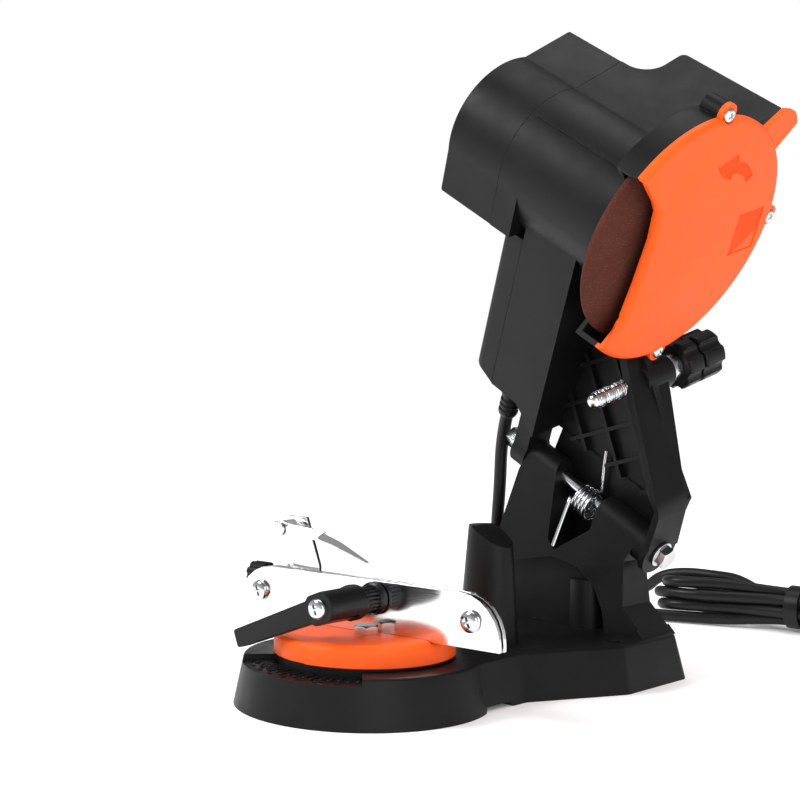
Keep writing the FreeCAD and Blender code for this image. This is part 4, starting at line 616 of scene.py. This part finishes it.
def runLayout(name, tree, mesh=None, **values):
    piece = newPiece(name, mesh or bpy.data.meshes.new(name))
    step = piece.modifiers.new("layout", "NODES")
    step.node_group = tree
    for socket in tree.interface.items_tree:
        key = socket.name.replace(" ", "_")
        if socket.in_out == "INPUT" and key in values:
            step[socket.identifier] = values[key]
    return evaluated(piece)


def endLayout(tree, given, out, geometry):
    solid = addNode(tree, "GeometryNodeRealizeInstances", {"Geometry": geometry}).outputs[0]
    done = addNode(tree, "GeometryNodeSetMaterial",
                   {"Geometry": solid, "Material": given.outputs["Material"]})
    tree.links.new(done.outputs[0], out.inputs["Geometry"])
    return tree


shape, thing, finish = "NodeSocketGeometry", "NodeSocketObject", "NodeSocketMaterial"


def makeScrewLayout():
    # one head on each point, turned and sized by the point's own attributes
    tree, given, out = makeGroup("screwHeads", "GeometryNodeTree",
                                 {"Geometry": (shape, None), "Head": (thing, None),
                                  "Material": (finish, None)},
                                 {"Geometry": (shape, None)})
    head = addNode(tree, "GeometryNodeObjectInfo", {"Object": given.outputs["Head"]}).outputs["Geometry"]
    read = {}
    for label in ("turned", "sized"):
        node = addNode(tree, "GeometryNodeInputNamedAttribute", {"Name": label}, data_type="FLOAT_VECTOR")
        read[label] = next(socket for socket in node.outputs if socket.enabled and socket.name == "Attribute")
    turned = addNode(tree, "FunctionNodeEulerToRotation", {"Euler": read["turned"]}).outputs[0]
    placed = addNode(tree, "GeometryNodeInstanceOnPoints",
                     {"Points": given.outputs["Geometry"], "Instance": head, "Rotation": turned,
                      "Scale": read["sized"]})
    return endLayout(tree, given, out, placed.outputs[0])


def makeArcLayout():
    # copies of one small shape along an arc, every other one further out
    tree, given, out = makeGroup("copiesOnArc", "GeometryNodeTree",
                                 {"Copy": (thing, None), "Count": ("NodeSocketInt", 17),
                                  "First": (number, 0.0), "Step": (number, 0.1), "Radius": (number, 0.04),
                                  "Stagger": (number, 0.0), "Height": (number, 0.0),
                                  "Material": (finish, None)},
                                 {"Geometry": (shape, None)})
    copy = addNode(tree, "GeometryNodeObjectInfo", {"Object": given.outputs["Copy"]}).outputs["Geometry"]
    index = addNode(tree, "GeometryNodeInputIndex").outputs[0]
    along = addMath(tree, "MULTIPLY", index, given.outputs["Step"])
    angle = addMath(tree, "ADD", given.outputs["First"], along)
    outwards = addMath(tree, "MULTIPLY", addMath(tree, "MODULO", index, 2.0), given.outputs["Stagger"])
    reach = addMath(tree, "ADD", given.outputs["Radius"], outwards)
    across = addMath(tree, "MULTIPLY", reach, addMath(tree, "COSINE", angle))
    deep = addMath(tree, "MULTIPLY", reach, addMath(tree, "SINE", angle))
    spot = addNode(tree, "ShaderNodeCombineXYZ", {"X": across, "Y": deep, "Z": given.outputs["Height"]})
    points = addNode(tree, "GeometryNodePoints",
                     {"Count": given.outputs["Count"], "Position": spot.outputs[0]})
    euler = addNode(tree, "ShaderNodeCombineXYZ", {"Z": angle}).outputs[0]
    turned = addNode(tree, "FunctionNodeEulerToRotation", {"Euler": euler}).outputs[0]
    placed = addNode(tree, "GeometryNodeInstanceOnPoints",
                     {"Points": points.outputs[0], "Instance": copy, "Rotation": turned})
    return endLayout(tree, given, out, placed.outputs[0])


def makeThreadLayout():
    # a helical ridge along Z
    tree, given, out = makeGroup("screwThread", "GeometryNodeTree",
                                 {"Radius": (number, 0.004), "Pitch": (number, 0.00125),
                                  "Length": (number, 0.06), "Ridge": (number, 0.0004),
                                  "Material": (finish, None)},
                                 {"Geometry": (shape, None)})
    turns = addMath(tree, "DIVIDE", given.outputs["Length"], given.outputs["Pitch"])
    path = addNode(tree, "GeometryNodeCurveSpiral", {"Resolution": 28, "Rotations": turns,
                                                     "Start Radius": given.outputs["Radius"],
                                                     "End Radius": given.outputs["Radius"],
                                                     "Height": given.outputs["Length"]}).outputs[0]
    section = addNode(tree, "GeometryNodeCurvePrimitiveCircle",
                      {"Resolution": 4, "Radius": given.outputs["Ridge"]}).outputs[0]
    swept = addNode(tree, "GeometryNodeCurveToMesh",
                    {"Curve": path, "Profile Curve": section, "Fill Caps": True})
    return endLayout(tree, given, out, swept.outputs[0])


screwLayout = makeScrewLayout()
arcLayout = makeArcLayout()
threadLayout = makeThreadLayout()


# pan-head screws
def inTable(x, y, z, turned):
    return tableFrame @ shift(x, y, z) @ turned


earCircle = 61.5
guardEars = arcOf(earCircle, [math.radians(angle) for angle in (85, -2.9, -85.5)])
panScrews = {
    "guard_screws": {"frames": [wheelFrame @ shift(0, y, z) @ alongX for y, z in guardEars],
                     "shank": 1.7, "tip": -32.5, "seat": -23, "wide": 3.4, "high": 1.9},
    "guide_screws": {"frames": [inTable(side * 58, 0, 42.5, towardsFront) for side in (-1, 1)],
                     "shank": 2.5, "tip": -6.8, "seat": 3.1, "wide": 4.7, "high": 2.6},
    "lever_screw": {"frames": [inTable(8, 0, 46.4, towardsFront)],
                    "shank": 2.0, "tip": 32.5, "seat": 41, "wide": 4.4, "high": 2.4},
}
# a head of radius 1 and height 1: its outline as (radius, height)
# and its cross as half length, half width and height
panHeadSizes = {
    "outline": [(0, 0), (1, 0), (1, 0.25), (0.97, 0.48), (0.88, 0.7), (0.7, 0.88), (0.42, 0.975), (0, 1)],
    "crossLow": (0.3, 0.07, 0.3), "crossHigh": (0.66, 0.15, 1.3), "crossTurn": 22,
}


def makePanHead():
    head = lathe("panHead", [(radius / mm, height / mm) for radius, height in panHeadSizes["outline"]],
                 Matrix.Identity(4), 36)
    arms = []
    corners = ((-1, -1), (1, -1), (1, 1), (-1, 1))
    for quarter in (0, 90):
        work = bmesh.new()
        low, high = ([work.verts.new((x * long, y * wide, level)) for x, y in corners]
                     for long, wide, level in (panHeadSizes["crossLow"], panHeadSizes["crossHigh"]))
        work.faces.new(list(reversed(low)))
        work.faces.new(high)
        for i in range(4):
            work.faces.new((low[i], low[(i + 1) % 4], high[(i + 1) % 4], high[i]))
        mesh = bpy.data.meshes.new("crossArm")
        work.to_mesh(mesh)
        work.free()
        mesh.transform(turn(quarter + panHeadSizes["crossTurn"], "Z"))
        arms.append(newPiece("crossArm", mesh))
    head = combine(head, arms, "DIFFERENCE")
    smoothByAngle(head.data, 40)
    return head


def makePanScrews():
    head = makePanHead()
    for node, screw in panScrews.items():
        thick, tip, seat = screw["shank"], screw["tip"], screw["seat"]
        mesh = bpy.data.meshes.new(node)
        mesh.from_pydata([place @ Vector((0, 0, seat * mm)) for place in screw["frames"]], [], [])
        turned = mesh.attributes.new("turned", "FLOAT_VECTOR", "POINT")
        sized = mesh.attributes.new("sized", "FLOAT_VECTOR", "POINT")
        for i, place in enumerate(screw["frames"]):
            turned.data[i].vector = place.to_euler()
            sized.data[i].vector = (screw["wide"] * mm, screw["wide"] * mm, screw["high"] * mm)
        slotName = slotOf[node]
        heads = runLayout(f"{node}_heads", screwLayout, mesh, Head=head, Material=materials[slotName])
        outline = [(0, tip), (thick * 0.7, tip), (thick, tip + 0.6), (thick, seat), (0, seat)]
        shanks = [lathe("shank", outline, place, 24) for place in screw["frames"]]
        piece = joined(f"{node}_pan", [heads] + shanks)
        smoothByAngle(piece.data, 40)
        finishPiece(piece, nodeBody[node], slotName, (node,))
    bpy.data.objects.remove(head)


# hexagon heads with their turned chamfer
hexHeads = {
    "vise_bolt": {"frame": inTable(8.5, -9.5, 0, turn(10, "Z")), "flats": 10, "seat": 32, "high": 4,
                  "shank": 3, "end": 23},
    "pivot_bolt": {"frame": earsFrame @ alongX, "flats": 10, "seat": 27.6, "high": 4.5,
                   "shank": 3, "end": -78.5},
}


def makeHexHeads():
    for node, bolt in hexHeads.items():
        place, flats, seat, high = bolt["frame"], bolt["flats"], bolt["seat"], bolt["high"]
        thick, end = bolt["shank"], bolt["end"]
        corner = flats / math.sqrt(3)
        block = prism(node, ringOf(corner, 6), seat, seat + high, place)
        dome = lathe("dome", [(0, seat - 1), (corner + 1, seat - 1), (corner + 1, seat + high - 1.35),
                              (flats * 0.47, seat + high), (0, seat + high)], place, 72)
        block = combine(block, [dome], "INTERSECT")
        top = seat + 0.1
        outline = [(0, end), (thick - 0.5, end), (thick, end + 0.8), (thick, top), (0, top)]
        shank = lathe("shank", outline, place, 48)
        piece = joined(f"{node}_turned", [block, shank])
        smoothByAngle(piece.data, 25)
        finishPiece(piece, nodeBody[node], slotOf[node], (node,))


# depth screw: a threaded rod with a rounded tip
depthSizes = {"place": (-23, 62.7), "radius": 4, "tip": -17, "end": 69.5, "core": 3.72, "ridge": 0.26,
              "pitch": 1.25, "threadStart": 3, "threadLess": 5,
              "nose": [(0, 0), (1.6, 0.25), (2.8, 1.0), (3.4, 2.0)]}


def makeDepthScrew():
    place = armFrame @ shift(depthSizes["place"][0], 0, depthSizes["place"][1]) @ alongY
    tip, end, core, ridge = (depthSizes[name] for name in ("tip", "end", "core", "ridge"))
    outline = [(radius, tip + up) for radius, up in depthSizes["nose"]]
    outline += [(core, tip + 3.2), (core, end - 1), (core - 0.8, end), (0, end)]
    rod = lathe("rod", outline, place, 64)
    thread = runLayout("thread", threadLayout, Radius=(depthSizes["radius"] - ridge) * mm,
                       Pitch=depthSizes["pitch"] * mm, Length=(end - tip - depthSizes["threadLess"]) * mm,
                       Ridge=ridge * mm, Material=materials["zinc_steel"])
    thread.data.transform(place @ shift(0, 0, tip + depthSizes["threadStart"]))
    piece = joined("depth_screw_threaded", [rod, thread])
    smoothByAngle(piece.data, 50)
    finishPiece(piece, nodeBody["depth_screw"], "zinc_steel", ("depth_screw",))


# return spring: one wire, a leg down to the base and a leg up against the panel
springSizes = {"radius": 7.3, "wire": 2.0, "start": -26, "coils": 4.5, "pitch": 2.3, "drop": 3.0,
               "startAngle": -100, "turnSteps": 12,
               "foot": (-18.8, -13.2, -26.8), "hook": [(-24.3, 2.5, 19.5), (-24.6, 1.2, 24.2)]}


def makeSpring():
    sizes = springSizes
    points = [sizes["foot"]]
    for i in range(int(sizes["coils"] * sizes["turnSteps"]) + 1):
        turns = i / sizes["turnSteps"]
        angle = math.radians(sizes["startAngle"] + 360 * turns)
        points.append((sizes["start"] + sizes["pitch"] * turns, sizes["radius"] * math.sin(angle),
                       -sizes["radius"] * math.cos(angle) - sizes["drop"]))
    points += sizes["hook"]
    path = [earsFrame @ (Vector(point) * mm) for point in points]
    wire = makeCurve("spring", path, sizes["wire"] / 2, resolution=5)
    piece = evaluated(wire, "torsion_spring_wound")
    smoothByAngle(piece.data, 60)
    finishPiece(piece, "base", "zinc_steel", ("torsion_spring",))


# angle scale in the base's sunken band
scaleSizes = {"floor": 18.0, "step": 5.0, "half": 40.0, "inner": 38.4, "rib": 6.4, "ribHalf": 0.45,
              "sunk": 0.05, "dot": 0.95, "dotGap": 0.4, "stagger": 1.5, "digits": 49.3, "tall": 3.3,
              "numberStep": 10, "numbers": (30, 20, 10, 0, 10, 20, 30)}


def makeScale():
    long, half, sunk, dot = (scaleSizes[name] for name in ("rib", "ribHalf", "sunk", "dot"))
    rib = prism("rib", [(0, -half), (long, -half), (long, half), (0, half)], -sunk, half, Matrix.Identity(4))
    dot = lathe("dot", [(0, -sunk), (dot, -sunk), (dot, 0.35), (0.6, 0.75), (0, 0.9)],
                shift(long + scaleSizes["dotGap"], 0, 0), 16)
    rib = joined("rib", [rib, dot])
    count = int(2 * scaleSizes["half"] / scaleSizes["step"]) + 1
    ribs = runLayout("ribs", arcLayout, Copy=rib, Count=count, First=math.radians(-90 - scaleSizes["half"]),
                     Step=math.radians(scaleSizes["step"]), Radius=scaleSizes["inner"] * mm,
                     Stagger=scaleSizes["stagger"] * mm, Height=scaleSizes["floor"] * mm,
                     Material=materials["black_body"])
    bpy.data.objects.remove(rib)
    digits = []
    middle = len(scaleSizes["numbers"]) // 2
    for i, value in enumerate(scaleSizes["numbers"]):
        text = bpy.data.curves.new("digits", "FONT")
        text.body = str(value)
        text.size = scaleSizes["tall"] * mm
        text.extrude = 0.2 * mm
        text.align_x = "CENTER"
        text.align_y = "CENTER"
        words = bpy.data.objects.new("digits", text)
        scene.collection.objects.link(words)
        words = evaluated(words, "digits")
        aside = turn(scaleSizes["numberStep"] * (i - middle), "Z")
        words.data.transform(aside @ shift(0, -scaleSizes["digits"], scaleSizes["floor"] + 0.1))
        digits.append(words)
    piece = joined("angle_scale", [ribs] + digits)
    smoothByAngle(piece.data, 35)
    finishPiece(piece, "base", "black_body")


# guard cover: soft mouth edge, a sunken direction arrow and a bare badge
coverSizes = {
    "face": -21, "edge": 3.3, "edgeSteps": 7, "mouthSide": -20, "mouthReach": 57,
    "sunk": 0.45, "badgeSunk": 0.5, "inlayUnder": 0.2, "inlayOver": 0.08,
    "badge": [(35.2, -14.5), (35.2, 3.5), (35.8, 4.9), (37.0, 5.3), (50.6, 5.3), (52.2, 3.9), (52.3, 1.8),
              (51.6, -6.0), (50.4, -8.2), (38.0, -15.9), (36.2, -16.2)],
    "arrow": [(6, 36.5), (19.3, 40.5), (20.6, 36.4), (25.2, 35.0), (29.2, 32.4), (35.0, 26.2), (31.2, 23.2),
              (27.6, 27.2), (23.6, 29.7), (18.8, 31.2), (18.5, 27.6), (11.3, 31.0)],
}
# an outline's X and Y laid on Y and Z
inWheelFace = Matrix(((0, 0, 1, 0), (1, 0, 0, 0), (0, 1, 0, 0), (0, 0, 0, 1)))


def bevelChosen(piece, chosen, width, segments):
    weights = piece.data.attributes.new("bevel_weight_edge", "FLOAT", "EDGE")
    for edge in piece.data.edges:
        first, second = (piece.data.vertices[i].co for i in edge.vertices)
        weights.data[edge.index].value = 1.0 if chosen(first, second) else 0.0
    bevel = piece.modifiers.new("edges", "BEVEL")
    bevel.width = width * mm
    bevel.segments = segments
    bevel.limit_method = "WEIGHT"
    bevel.use_clamp_overlap = False
    return evaluated(piece)


def makeGuardCover():
    piece = cadCopy("guard_cover", "guard_cover_moulded")
    toWheel = wheelFrame.inverted()
    face = coverSizes["face"]

    def onMouth(first, second):
        first, second = toWheel @ first / mm, toWheel @ second / mm
        level = max(abs(first.x - face), abs(second.x - face)) < 0.05
        near = min(first.yz.length, second.yz.length) < coverSizes["mouthReach"]
        return level and near and max(first.y, second.y) < coverSizes["mouthSide"]

    piece = bevelChosen(piece, onMouth, coverSizes["edge"], coverSizes["edgeSteps"])
    arrow = prism("arrow", coverSizes["arrow"], face - coverSizes["sunk"], face + 2, wheelFrame @ inWheelFace)
    piece = combine(piece, [arrow], "DIFFERENCE")
    smoothByAngle(piece.data, 32)
    finishPiece(piece, "head", "orange_plastic", ("guard_cover",))
    for name, outline, deep in (("arrow_floor", coverSizes["arrow"], coverSizes["sunk"]),
                                ("badge_floor", coverSizes["badge"], coverSizes["badgeSunk"])):
        floor = face - deep
        inlay = prism(name, outline, floor - coverSizes["inlayUnder"], floor + coverSizes["inlayOver"],
                      wheelFrame @ inWheelFace)
        finishPiece(inlay, "head", "orange_plastic", material=materials["orange_recess"])


# turntable: the pointer's step runs on down the rim
tableSizes = {"radius": 40, "step": 0.9, "beyond": 3, "low": 22, "high": 34, "sector": (180, 270),
              "parts": 45}


def makeTurntable():
    piece = cadCopy("turntable", "turntable_moulded")
    first, last = tableSizes["sector"]
    parts = tableSizes["parts"]
    angles = [math.radians(first + (last - first) * i / parts) for i in range(parts + 1)]
    outline = arcOf(tableSizes["radius"] - tableSizes["step"], angles)
    outline += arcOf(tableSizes["radius"] + tableSizes["beyond"], reversed(angles))
    sector = prism("sector", outline, tableSizes["low"], tableSizes["high"], tableFrame)
    piece = combine(piece, [sector], "DIFFERENCE")
    smoothByAngle(piece.data, 32)
    piece = roundEdges(piece, 0.35, 2, 38)
    finishPiece(piece, "turntable", "orange_plastic", ("turntable",))


# two walls behind the pivot bolt: one rides the head, one the base
panelFrame = armFrame @ turn(-10, "X")
backWalls = {
    "panel_tongue": {"body": "head", "frame": panelFrame, "wide": (-55, 22.6), "high": (-11.5, 18),
                     "deep": (-11.4, -8.5)},
    "tower_web": {"body": "base", "frame": earsFrame, "wide": (-42.5, -9.5), "high": (-32, -11),
                  "deep": (-13.6, -10.4)},
}


def makeBacking():
    for name, wall in backWalls.items():
        (left, right), (low, high) = wall["wide"], wall["high"]
        outline = [(left, low), (right, low), (right, high), (left, high)]
        piece = prism(name, outline, *wall["deep"], wall["frame"] @ towardsFront)
        finishPiece(roundEdges(piece, 0.4), wall["body"], "black_body")


makePanScrews()
makeHexHeads()
makeDepthScrew()
makeSpring()
makeScale()
makeGuardCover()
makeTurntable()
makeBacking()
print("stage: fittings")

# the remaining nodes keep their own shapes, with softened edges
dressed |= set(panScrews) | set(hexHeads) | {"depth_screw", "torsion_spring", "guard_cover", "turntable"}
inner = {"motor_stator", "motor_armature", "cooling_fan", "front_bearing", "rear_bearing", "brush_holders",
         "inner_flange", "outer_flange", "wheel_screw"}
edgeWidth = {"base": 0, "head_housing": 0, "motor_end_cap": 0.5, "arm_side_cover": 0.5, "inner_guard": 0.4,
             "clamp_lever": 0.6, "grinding_wheel": 0}
usualEdge = 0.25
for name in sorted(nodeObjects):
    if name in dressed or name in ("power_cord", "cord_hank", "cord_tail"):
        continue
    if name in inner:
        nodeObjects[name].data.materials.clear()
        nodeObjects[name].data.materials.append(materials[slotOf[name]])
        continue
    dress(name, edgeWidth.get(name, usualEdge))
print("stage: dressed nodes")

# floor
floorSizes = {"half": 12.0, "glow": 0.05}


def makeFloor():
    mesh = bpy.data.meshes.new("floor")
    half = floorSizes["half"]
    corners = [(-half, -half, 0), (half, -half, 0), (half, half, 0), (-half, half, 0)]
    mesh.from_pydata(corners, [], [(0, 1, 2, 3)])
    floor = newPiece("floor", mesh)
    made, tree, shader = startMaterial("paleFloor")
    skin = useGroup(tree, grainGroup, Grain_per_mm=0.5, Mottle_per_mm=0.004)
    tree.links.new(mixColour(tree, skin.outputs["Mottle"], (0.955, 0.955, 0.95), (0.975, 0.975, 0.972)),
                   shader.inputs["Base Color"])
    shader.inputs["Roughness"].default_value = 1.0
    shader.inputs["Specular IOR Level"].default_value = 0.0
    shader.inputs["Emission Color"].default_value = (1, 1, 1, 1)
    shader.inputs["Emission Strength"].default_value = floorSizes["glow"]
    mesh.materials.append(made)


makeFloor()
